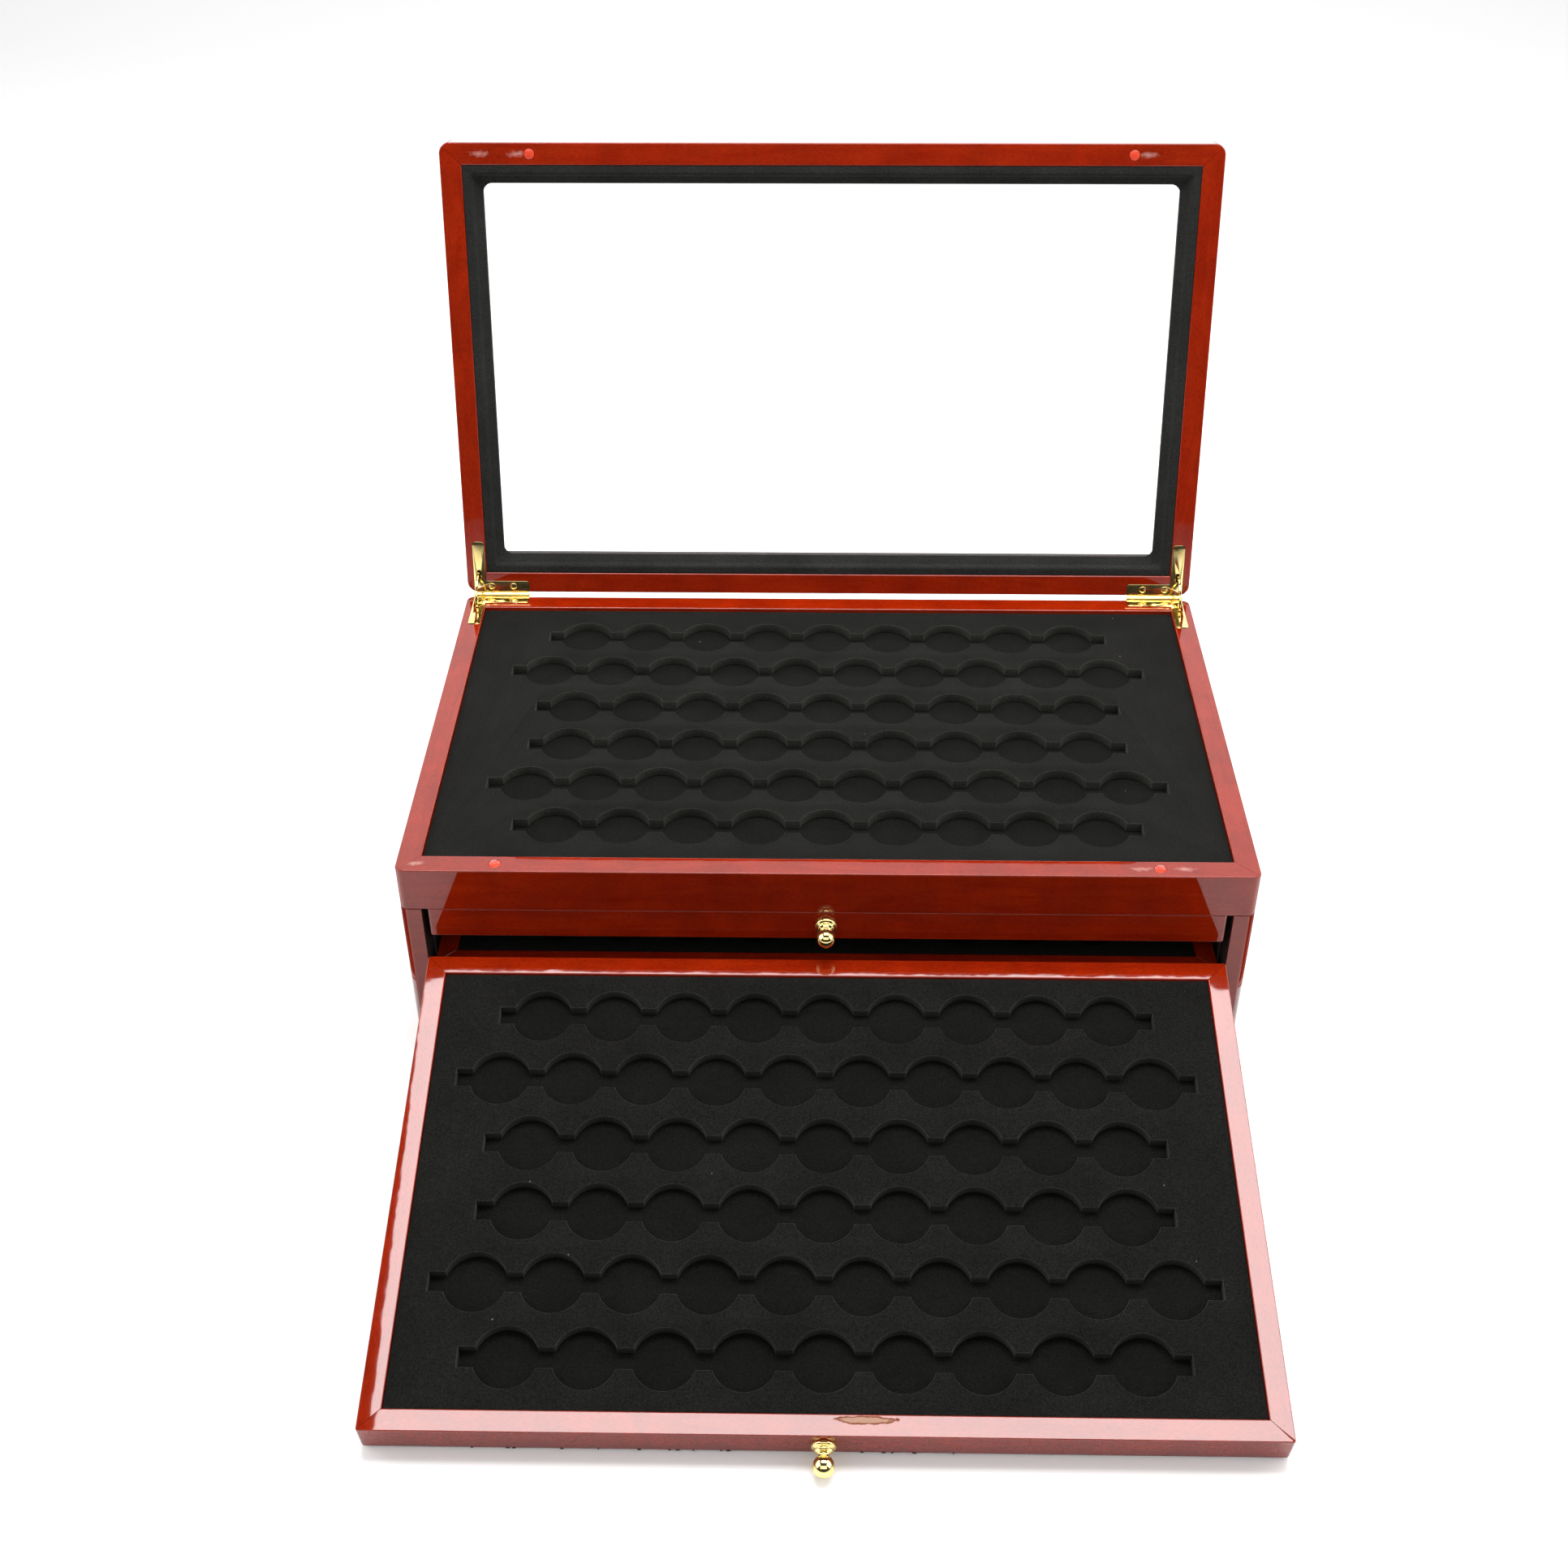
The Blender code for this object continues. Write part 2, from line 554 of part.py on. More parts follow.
def build_knob(name, front_y, height, parent):
    """A turned brass knob with its stud, and the hole that the stud needs."""
    mesh = bpy.data.meshes.new(name)
    points = [(r, 0, z) for r, z in knob_profile()]
    mesh.from_pydata(points, [(i, i + 1) for i in range(len(points) - 1)], [])
    knob = add_object(name, mesh, parent, BRASS)
    knob.rotation_euler = (math.pi / 2, 0, 0)
    knob.location = Vector((0, front_y, height)) - origin_of(parent)
    turned = knob.modifiers.new("turned", "SCREW")
    turned.steps = KNOB_STEPS
    turned.render_steps = KNOB_STEPS
    turned.use_merge_vertices = True
    turned.merge_threshold = MERGE
    return rod(name + "_hole", KNOB_STUD_R + GAP, (0, front_y - GAP, height),
               (0, front_y + KNOB_STUD + GAP, height), BORE_STEPS, parent)


def build_drawer(number, centre_y, parent):
    """Four mitred rails, a board in their groove, the coin insert and the knob."""
    low = drawer_bottom(number)
    prefix = f"drawer_{number}"
    section = [(0, low), (DRAWER_RAIL, low), (DRAWER_RAIL, low + DRAWER_H), (0, low + DRAWER_H)]
    rails = frame(prefix, DRAWER_W, DRAWER_D, section, centre_y, parent)
    inside_w, inside_d = DRAWER_W - 2 * DRAWER_RAIL, DRAWER_D - 2 * DRAWER_RAIL
    board(prefix + "_board", inside_w, inside_d, low + BOARD_RAISE, rails, centre_y, parent)
    coin_insert(prefix + "_insert", inside_w - 2 * GAP, inside_d - 2 * GAP,
                low + BOARD_RAISE + BOARD_T + GAP, centre_y, parent)

    middle = low + DRAWER_H / 2
    front_y, back_y = centre_y - DRAWER_D / 2, centre_y + DRAWER_D / 2
    for label, sign in (("left", -1), ("right", 1)):
        near, far = sign * (DRAWER_W / 2 - GROOVE_DEPTH), sign * (DRAWER_W / 2 + GAP)
        groove = box(f"{prefix}_groove_{label}",
                     (min(near, far), front_y + GROOVE_STOP, middle - GROOVE_H / 2),
                     (max(near, far), back_y + GAP, middle + GROOVE_H / 2), parent)
        boolean(rails[label], groove)
        boolean(rails["back"], groove)
    boolean(rails["front"], build_knob(prefix + "_knob", front_y, middle, parent))


def build_drawers():
    """The drawers in the case, and the one that leans on the drawer below's knob."""
    shut_y = DRAWER_FRONT_Y + DRAWER_D / 2
    slides = {}
    for number in range(1, DRAWER_COUNT + 1):
        if number == OUT_DRAWER:
            continue
        middle = (0, shut_y, drawer_bottom(number) + DRAWER_H / 2)
        slides[number] = empty(f"drawer_{number}_slide", middle)
        build_drawer(number, shut_y, slides[number])
    tilt = empty(f"drawer_{OUT_DRAWER}_tilt", LEAN_PIVOT, slides[REST_DRAWER])
    tilt.rotation_euler = (LEAN, 0, 0)
    build_drawer(OUT_DRAWER, LEAN_BACK_Y - DRAWER_D / 2, tilt)


def main():
    case_rails = build_case()
    lid_hinge = empty("lid_hinge", HINGE_POINT)
    lid_hinge.rotation_euler = (-LID_OPEN, 0, 0)
    lid_rails = build_lid(lid_hinge)
    for label, sign in (("left", -1), ("right", 1)):
        build_hinge(label, sign, case_rails, lid_rails, lid_hinge)
    build_catches(case_rails, lid_rails, lid_hinge)
    build_drawers()


main()
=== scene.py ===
"""Looks of the coin display tray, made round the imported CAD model.

Every piece is drawn in the place it has when the case is shut or its drawer is level, and then
turned to its rest pose, which has the lid open and the second drawer leaning in front.
"""
import json
import math
import random

import bmesh
import bpy
from mathutils import Matrix, Vector


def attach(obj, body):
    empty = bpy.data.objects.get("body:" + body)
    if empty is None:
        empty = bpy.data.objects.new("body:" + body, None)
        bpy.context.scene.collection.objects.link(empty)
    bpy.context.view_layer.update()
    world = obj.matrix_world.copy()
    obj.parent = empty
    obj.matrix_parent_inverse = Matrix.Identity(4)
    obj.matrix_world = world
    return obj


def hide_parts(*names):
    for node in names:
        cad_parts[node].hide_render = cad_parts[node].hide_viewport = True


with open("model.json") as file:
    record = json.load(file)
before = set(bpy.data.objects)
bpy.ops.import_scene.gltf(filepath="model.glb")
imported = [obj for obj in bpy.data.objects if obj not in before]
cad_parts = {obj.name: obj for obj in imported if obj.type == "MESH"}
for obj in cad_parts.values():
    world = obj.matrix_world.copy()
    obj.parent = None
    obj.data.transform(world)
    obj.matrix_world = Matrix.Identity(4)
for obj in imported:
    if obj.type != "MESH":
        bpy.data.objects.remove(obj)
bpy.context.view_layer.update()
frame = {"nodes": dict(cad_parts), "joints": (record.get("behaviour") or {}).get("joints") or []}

# ---------------------------------------------------------------- sizes, as in the CAD model
GAP = 0.0003
CASE_W, CASE_D, CASE_H = 0.430, 0.258, 0.122
UPPER_BOTTOM = 0.097
RIM = 0.012
WALL = 0.011
PLINTH_H = 0.024
CORNER_R = 0.004
MITRE_CHAMFER, ROUND_STEPS = 0.00018, 7
FRONT_Y, BACK_Y = -CASE_D / 2, CASE_D / 2

DRAWER_W, DRAWER_D, DRAWER_H = 0.402, 0.246, 0.0175
DRAWER_RAIL = 0.010
DRAWER_LOWS = {1: 0.0790, 2: 0.0610, 3: 0.0430, 4: 0.0250}
SHUT_Y = -0.0054                  # middle of a drawer that is pushed home
OUT_Y = -0.2585                   # middle of the second drawer once it is level
GROOVE_H, GROOVE_DEPTH, GROOVE_STOP = 0.0052, 0.0042, 0.012
STUD_BORE_R, STUD_BORE_DEPTH = 0.0017, 0.0064
DRAWER_CORNER_R = 0.0012
CHIP_COUNT = 18

BOARD_T, BOARD_RAISE, BOARD_TENON = 0.003, 0.0077, 0.0027
INSERT_T, INSERT_FLOOR_T, INSERT_EDGE = 0.0055, 0.00025, 0.00045
TOP_INSERT_LOW = 0.11455
COIN_ROWS = (9, 10, 9, 9, 10, 9)
COIN_R, COLUMN_PITCH, ROW_PITCH = 0.01465, 0.035, 0.0355
CHANNEL_HALF, TAB = 0.0048, 0.0214
ARC_STEPS = 22

LID_LOW, LID_T = CASE_H + GAP, 0.016
LID_CORNER_R = 0.006
LIP, LIP_T = 0.0215, 0.006
MOULDING_T = 0.0070
MOULDING_CORNER = 0.005
VELVET_OVERHANG = 0.0007          # how far the velvet reaches past the lip round the glass

LEAF_T = 0.0012
LEAF_SIDE, LEAF_ARM_W, LEAF_BACK_W = 0.0042, 0.0072, 0.0068
LEAF_X_END, LEAF_Y_END = 0.037, 0.031
KNUCKLE_R, PIN_R = 0.0018, 0.0008
STAY_R, STAY_W, STAY_T, STAY_X = 0.013, 0.0026, 0.0012, 0.0072
STAY_TAIL = math.radians(6)
MORTISE_DEPTH = 0.0128
SLOT_HALF, SLOT_NEAR, SLOT_FAR = 0.0009, 0.0105, 0.0153     # the stay's slot in a leaf
BORE_R = 0.00095
SCREW_MARKS, SCREW_INSET, SCREW_HEAD_R = (0.0145, 0.0275), 0.0036, 0.0020
SINK_R, SINK_DEPTH = 0.0022, 0.0009
CATCH_X, CATCH_Y, CATCH_R, CATCH_DEPTH = 0.1655, FRONT_Y + RIM / 2, 0.003, 0.005
CAP_PLAY = 0.0001

WORLD_LOOK, WORLD_LIGHT = 0.90, 0.06        # what the camera and the glass see adds the first

JOINTS = {joint["name"]: joint for joint in frame["joints"]}
HINGE = Vector(JOINTS["lid_hinge"]["pos_m"])
LID_OPEN = math.radians(JOINTS["lid_hinge"]["range_deg"][1])


def shut_to_rest(name):
    """The turn from a hinge's far limit back to rest."""
    joint = JOINTS[name]
    point = Vector(joint["pos_m"])
    angle = -math.radians(joint["range_deg"][1])
    turn = Matrix.Rotation(angle, 4, Vector(joint["axis"]))
    return Matrix.Translation(point) @ turn @ Matrix.Translation(-point)


LEVEL = Matrix.Identity(4)
LID_POSE = shut_to_rest("lid_hinge")
LEAN_POSE = shut_to_rest("drawer_2_tilt")


# ---------------------------------------------------------------- material nodes
def shader_material(name):
    """A new material, its node tree and its Principled BSDF."""
    made = bpy.data.materials.new(name)
    made.use_nodes = True
    tree = made.node_tree
    return made, tree, tree.nodes["Principled BSDF"]


def add_node(tree, kind, inputs=None, **settings):
    """A node with settings and either constants or links on its inputs."""
    node = tree.nodes.new(kind)
    for key, value in settings.items():
        setattr(node, key, value)
    for key, value in (inputs or {}).items():
        if isinstance(value, bpy.types.NodeSocket):
            tree.links.new(value, node.inputs[key])
        else:
            node.inputs[key].default_value = value
    return node


def ramp(tree, source, stops):
    """A colour ramp over a value."""
    node = tree.nodes.new("ShaderNodeValToRGB")
    tree.links.new(source, node.inputs["Fac"])
    band = node.color_ramp
    for i, (place, colour) in enumerate(stops):
        stop = band.elements[i] if i < 2 else band.elements.new(place)
        stop.position = place
        stop.color = (*colour, 1.0)
    return node.outputs["Color"]


def grey(level):
    """A colour without hue."""
    return (level, level, level)


def mixed(tree, factor, first, second, blend="MIX"):
    """A colour mix of two inputs, each a socket or a constant."""
    node = tree.nodes.new("ShaderNodeMix")
    node.data_type = "RGBA"
    node.blend_type = blend
    for socket, value in ((node.inputs[0], factor), (node.inputs[6], first),
                          (node.inputs[7], second)):
        if isinstance(value, bpy.types.NodeSocket):
            tree.links.new(value, socket)
        elif isinstance(value, float):
            socket.default_value = value
        else:
            socket.default_value = (*value, 1.0)
    return node.outputs[2]


def bump(tree, height, strength, distance):
    """A bumped normal."""
    inputs = {"Height": height, "Strength": strength, "Distance": distance}
    return add_node(tree, "ShaderNodeBump", inputs).outputs["Normal"]


def stretched(tree, vector, scale):
    """A vector scaled along each axis."""
    return add_node(tree, "ShaderNodeMapping", {"Vector": vector, "Scale": scale}).outputs[0]


def noise(tree, vector, scale, detail, **more):
    """A noise value; more can hold Roughness and Distortion."""
    inputs = {"Vector": vector, "Scale": scale, "Detail": detail, **more}
    return add_node(tree, "ShaderNodeTexNoise", inputs).outputs["Fac"]


def math_node(tree, operation, *values):
    """A Math node over sockets and constants."""
    return add_node(tree, "ShaderNodeMath", dict(enumerate(values)), operation=operation).outputs[0]


def object_place(tree):
    """Coordinates that stay with the piece."""
    return add_node(tree, "ShaderNodeTexCoord").outputs["Object"]


def spot_mask(tree, place, centre, reach, edge, wobble):
    """1 inside an uneven oval round a point, falling to 0 at its edge."""
    inputs = {"Vector": place, "Location": centre, "Scale": reach}
    oval = add_node(tree, "ShaderNodeMapping", inputs, vector_type="TEXTURE").outputs[0]
    away = add_node(tree, "ShaderNodeVectorMath", {0: oval}, operation="LENGTH").outputs["Value"]
    swing = math_node(tree, "MULTIPLY_ADD", noise(tree, place, 420.0, 4.0), wobble, -wobble / 2)
    uneven = math_node(tree, "ADD", away, swing)
    return ramp(tree, uneven, [(1.0 - edge, grey(1.0)), (1.0, grey(0.0))])


def lacquered_wood(name="lacquered_mahogany", smears=(), worn=None):
    """Red mahogany under a thick gloss lacquer; the grain runs along each piece's first UV axis.

    smears are the middles of pale polish marks; worn is the middle of a spot without lacquer.
    """
    made, tree, shader = shader_material(name)
    uv = add_node(tree, "ShaderNodeUVMap", uv_map="grain").outputs["UV"]
    streaks = noise(tree, stretched(tree, uv, (30, 190, 1)), 1.0, 6.0, Roughness=0.62,
                    Distortion=0.7)
    pores = noise(tree, stretched(tree, uv, (420, 1500, 1)), 1.0, 3.0, Roughness=0.6)
    clouds = noise(tree, stretched(tree, uv, (34, 22, 1)), 1.0, 3.0, Roughness=0.5, Distortion=1.2)
    grain = ramp(tree, streaks, [(0.25, (0.160, 0.0062, 0.0005)), (0.52, (0.192, 0.0098, 0.0008)),
                                 (0.78, (0.222, 0.0140, 0.0012))])
    shade = ramp(tree, clouds, [(0.30, grey(0.86)), (0.70, grey(1.12))])
    dots = ramp(tree, pores, [(0.32, grey(0.70)), (0.50, grey(1.0)), (0.68, grey(1.10))])
    colour = mixed(tree, 1.0, mixed(tree, 1.0, grain, shade, "MULTIPLY"), dots, "MULTIPLY")
    place = object_place(tree)
    for centre in smears:
        mask = spot_mask(tree, place, centre, (0.006, 0.002, 0.002), 0.9, 1.6)
        colour = mixed(tree, math_node(tree, "MULTIPLY", mask, 0.55), colour, (0.42, 0.22, 0.19))
    if worn:
        rim = spot_mask(tree, place, worn, (0.0145, 0.0019, 0.004), 0.10, 0.9)
        inside = spot_mask(tree, place, worn, (0.0125, 0.0014, 0.004), 0.25, 0.9)
        colour = mixed(tree, rim, colour, (0.16, 0.045, 0.022))
        colour = mixed(tree, inside, colour, (0.33, 0.19, 0.135))
        tree.links.new(math_node(tree, "SUBTRACT", 1.0, rim), shader.inputs["Coat Weight"])
    tree.links.new(colour, shader.inputs["Base Color"])
    shader.inputs["Roughness"].default_value = 0.42
    shader.inputs["IOR"].default_value = 1.5
    shader.inputs["Specular IOR Level"].default_value = 0.0
    shader.inputs["Coat Weight"].default_value = 1.0
    shader.inputs["Coat Roughness"].default_value = 0.025
    shader.inputs["Coat IOR"].default_value = 1.52
    tree.links.new(bump(tree, pores, 0.15, 0.0001), shader.inputs["Normal"])
    ripple = noise(tree, place, 55.0, 2.0)
    tree.links.new(bump(tree, ripple, 0.05, 0.0006), shader.inputs["Coat Normal"])
    return made


def dark_board():
    """Thin plywood, stained near black; the same colour serves as painted shade on the carcass's
    inner faces and the runners.
    """
    made, tree, shader = shader_material("stained_board_and_painted_shade")
    place = stretched(tree, object_place(tree), (12, 220, 220))
    fibre = noise(tree, place, 1.0, 6.0, Roughness=0.6)
    colour = ramp(tree, fibre, [(0.3, (0.010, 0.006, 0.005)), (0.7, (0.026, 0.016, 0.012))])
    tree.links.new(colour, shader.inputs["Base Color"])
    shader.inputs["Roughness"].default_value = 0.62
    tree.links.new(bump(tree, fibre, 0.4, 0.0003), shader.inputs["Normal"])
    return made


def flock(name, dark, light, sheen):
    """Short black flock: a fine pile with a few specks of dust."""
    made, tree, shader = shader_material(name)
    place = object_place(tree)
    pile = noise(tree, place, 1250.0, 2.0, Roughness=0.7)
    brushed = noise(tree, place, 34.0, 4.0, Roughness=0.6)
    colour = ramp(tree, pile, [(0.32, dark), (0.68, light)])
    patches = ramp(tree, brushed, [(0.3, grey(0.82)), (0.7, grey(1.2))])
    colour = mixed(tree, 1.0, colour, patches, "MULTIPLY")
    cells = add_node(tree, "ShaderNodeTexVoronoi", {"Vector": place, "Scale": 95.0})
    speck = ramp(tree, cells.outputs["Distance"], [(0.030, grey(1.0)), (0.045, grey(0.0))])
    draw = add_node(tree, "ShaderNodeSeparateColor", {"Color": cells.outputs["Color"]})
    rare = math_node(tree, "GREATER_THAN", draw.outputs["Red"], 0.93)
    dust = math_node(tree, "MULTIPLY", speck, rare)
    colour = mixed(tree, dust, colour, (0.10, 0.09, 0.075))
    tree.links.new(colour, shader.inputs["Base Color"])
    shader.inputs["Roughness"].default_value = 1.0
    shader.inputs["Specular IOR Level"].default_value = 0.08
    shader.inputs["Sheen Weight"].default_value = sheen
    shader.inputs["Sheen Roughness"].default_value = 0.45
    tree.links.new(bump(tree, pile, 0.55, 0.0003), shader.inputs["Normal"])
    return made


def polished_brass():
    """Bright pale brass with a faint uneven polish."""
    made, tree, shader = shader_material("polished_brass")
    haze = noise(tree, object_place(tree), 260.0, 4.0)
    colour = ramp(tree, haze, [(0.3, (0.80, 0.61, 0.22)), (0.7, (0.90, 0.74, 0.34))])
    rough = ramp(tree, haze, [(0.3, grey(0.06)), (0.75, grey(0.15))])
    tree.links.new(colour, shader.inputs["Base Color"])
    tree.links.new(rough, shader.inputs["Roughness"])
    shader.inputs["Metallic"].default_value = 1.0
    tree.links.new(bump(tree, haze, 0.08, 0.0002), shader.inputs["Normal"])
    return made


def orange_cap():
    """The painted cap over a catch magnet."""
    made, tree, shader = shader_material("catch_cap_paint")
    blotch = noise(tree, object_place(tree), 700.0, 3.0)
    colour = ramp(tree, blotch, [(0.3, (0.42, 0.020, 0.005)), (0.7, (0.54, 0.045, 0.010))])
    tree.links.new(colour, shader.inputs["Base Color"])
    shader.inputs["Roughness"].default_value = 0.35
    shader.inputs["Coat Weight"].default_value = 0.6
    shader.inputs["Coat Roughness"].default_value = 0.08
    tree.links.new(bump(tree, blotch, 0.1, 0.0002), shader.inputs["Normal"])
    return made


def clear_glass():
    """Float glass with a faint haze of wiping marks."""
    made, tree, shader = shader_material("float_glass")
    haze = noise(tree, stretched(tree, object_place(tree), (30, 6, 6)), 1.0, 3.0)
    rough = ramp(tree, haze, [(0.4, grey(0.0)), (0.8, grey(0.02))])
    shader.inputs["Base Color"].default_value = (0.985, 1.0, 0.99, 1.0)
    shader.inputs["Transmission Weight"].default_value = 1.0
    shader.inputs["IOR"].default_value = 1.46
    tree.links.new(rough, shader.inputs["Roughness"])
    return made


def pale_floor():
    """Plain matt white."""
    made, _, shader = shader_material("pale_floor")
    shader.inputs["Base Color"].default_value = (0.86, 0.86, 0.86, 1.0)
    shader.inputs["Roughness"].default_value = 0.9
    return made


WOOD = lacquered_wood()
BOARD_AND_SHADE = dark_board()
FLOCK = flock("black_flock_face", (0.0022, 0.0022, 0.0019), (0.0098, 0.0098, 0.0087), 0.006)
# Darker copy of the flock for the recess floors: painted shade in the recesses.
SHADED_FLOOR_FLOCK = flock("black_flock_floor_painted_shade", (0.0020, 0.0020, 0.0018), (0.0062, 0.0062, 0.0055), 0.004)
# Lighter copy of the flock for the recess walls and round edges: painted light where they catch the
# light.
LIT_EDGE_FLOCK = flock("black_flock_edge_painted_light", (0.015, 0.015, 0.013), (0.032, 0.032, 0.028), 0.01)
VELVET = flock("black_velvet_pile", (0.0066, 0.0070, 0.0064), (0.0190, 0.0196, 0.0180), 0.04)
BRASS = polished_brass()
CAP = orange_cap()
GLASS = clear_glass()

LID_SMEARS = [LID_POSE @ Vector((x, CATCH_Y, LID_LOW)) for x in (-0.1925, -0.1725, 0.1735)]
RIM_SMEARS = [Vector((x, CATCH_Y, CASE_H)) for x in (-0.205, 0.156, 0.178)]
WORN_X, WORN_INSET = 0.0178, 0.0073
WORN_SPOT = LEAN_POSE @ Vector((WORN_X, OUT_Y - DRAWER_D / 2 + WORN_INSET,
                                DRAWER_LOWS[2] + DRAWER_H))
MARKED_WOOD = {"lid_rail_front": lacquered_wood("lacquered_mahogany_lid", LID_SMEARS),
               "upper_frame_front": lacquered_wood("lacquered_mahogany_rim", RIM_SMEARS),
               "drawer_2_front": lacquered_wood("lacquered_mahogany_worn", worn=WORN_SPOT)}


# ---------------------------------------------------------------- mesh helpers
def new_piece(name, mesh, material, body, node, pose=LEVEL):
    """Link a mesh as a piece that rides on a body and, if it stands for a node, replaces it."""
    mesh.transform(pose)
    if not mesh.materials:
        mesh.materials.append(material)
    made = bpy.data.objects.new(name, mesh)
    bpy.context.scene.collection.objects.link(made)
    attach(made, body)
    if node:
        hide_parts(node)
    return made


def to_mesh(name, bm, sharp=35):
    """Finish a bmesh: outward faces, smooth shading with sharp edges."""
    bmesh.ops.recalc_face_normals(bm, faces=bm.faces)
    mesh = bpy.data.meshes.new(name)
    bm.to_mesh(mesh)
    bm.free()
    smooth(mesh, sharp)
    return mesh


def smooth(mesh, sharp=35):
    """Smooth shading, with edges sharp above this many degrees."""
    mesh.shade_smooth()
    mesh.set_sharp_from_angle(angle=math.radians(sharp))


def weigh_normals(piece):
    """Keep large flat faces flat beside their small round edges."""
    modifier = piece.modifiers.new("normals", "WEIGHTED_NORMAL")
    modifier.keep_sharp = True
    modifier.weight = 80


def cut(mesh, cutters, operation="DIFFERENCE"):
    """The mesh after Boolean cuts by other meshes; materials and UVs are kept."""
    holder = bpy.data.objects.new("cut_holder", mesh)
    bpy.context.scene.collection.objects.link(holder)
    tools = []
    for cutter in cutters:
        tool = bpy.data.objects.new("cutter", cutter)
        bpy.context.scene.collection.objects.link(tool)
        modifier = holder.modifiers.new("cut", "BOOLEAN")
        modifier.operation = operation
        modifier.object = tool
        tools.append(tool)
    depsgraph = bpy.context.evaluated_depsgraph_get()
    made = bpy.data.meshes.new_from_object(holder.evaluated_get(depsgraph))
    made.name = mesh.name
    for item in [holder] + tools:
        bpy.data.objects.remove(item, do_unlink=True)
    return made


def box_mesh(low, high, bevel=0.0, segments=2):
    """A box between two corners, with round edges if bevel is given."""
    low, high = Vector(low), Vector(high)
    bm = bmesh.new()
    bmesh.ops.create_cube(bm, size=1.0)
    bmesh.ops.scale(bm, vec=high - low, verts=bm.verts)
    bmesh.ops.translate(bm, vec=(low + high) / 2, verts=bm.verts)
    if bevel:
        bmesh.ops.bevel(bm, geom=list(bm.edges), offset=bevel, segments=segments, profile=0.5,
                        affect="EDGES")
    return to_mesh("box", bm)


def rod_mesh(radius, start, end, segments=32):
    """A plain round bar between two points, for cutting."""
    start, end = Vector(start), Vector(end)
    turn = (end - start).to_track_quat("Z", "Y").to_matrix().to_4x4()
    bm = bmesh.new()
    bmesh.ops.create_cone(bm, cap_ends=True, segments=segments, radius1=radius, radius2=radius,
                          depth=(end - start).length,
                          matrix=Matrix.Translation((start + end) / 2) @ turn)
    return to_mesh("rod", bm)


def turned_mesh(name, profile, start, direction, steps=48, sharp=35):
    """Spin a profile of (radius, height) round an axis from start along direction."""
    bm = bmesh.new()
    verts = [bm.verts.new((r, 0, z)) for r, z in profile]
    edges = [bm.edges.new(pair) for pair in zip(verts, verts[1:])]
    bmesh.ops.spin(bm, geom=verts + edges, cent=(0, 0, 0), axis=(0, 0, 1), dvec=(0, 0, 0),
                   angle=2 * math.pi, steps=steps, use_duplicate=False)
    bmesh.ops.remove_doubles(bm, verts=bm.verts, dist=1e-6)
    turn = Vector(direction).to_track_quat("Z", "Y").to_matrix().to_4x4()
    mesh = to_mesh(name, bm, sharp)
    mesh.transform(Matrix.Translation(start) @ turn)
    return mesh


def rounded(corners, steps=4):
    """A closed profile of (inward, height, radius) corners with its corners turned to arcs."""
    points = []
    for i, (u, z, radius) in enumerate(corners):
        here = Vector((u, z))
        if not radius:
            points.append(here)
            continue
        back = (Vector(corners[i - 1][:2]) - here).normalized()
        ahead = (Vector(corners[(i + 1) % len(corners)][:2]) - here).normalized()
        half = back.angle(ahead) / 2
        start = here + back * radius / math.tan(half)
        end = here + ahead * radius / math.tan(half)
        centre = here + (back + ahead).normalized() * radius / math.sin(half)
        first, last = start - centre, end - centre
        sweep = first.angle(last)
        for step in range(steps + 1):
            t = step / steps
            mix = (first * math.sin((1 - t) * sweep) + last * math.sin(t * sweep)) / math.sin(sweep)
            points.append(centre + mix)
    return points


def shrunk(points, amount):
    """The profile moved inwards by a small amount."""
    area = sum(a.x * b.y - b.x * a.y for a, b in zip(points, points[1:] + points[:1]))
    sign = 1 if area > 0 else -1
    moved = []
    for i, here in enumerate(points):
        before, after = points[i - 1], points[(i + 1) % len(points)]
        along = (after - here).normalized() + (here - before).normalized()
        normal = Vector((-along.y, along.x)).normalized() * sign
        moved.append(here + normal * amount)
    return moved


QUARTER = {"front": 0, "right": 1, "back": 2, "left": 3}


def sharp_corner(inward):
    """A square corner at every inward distance."""
    return 0.0


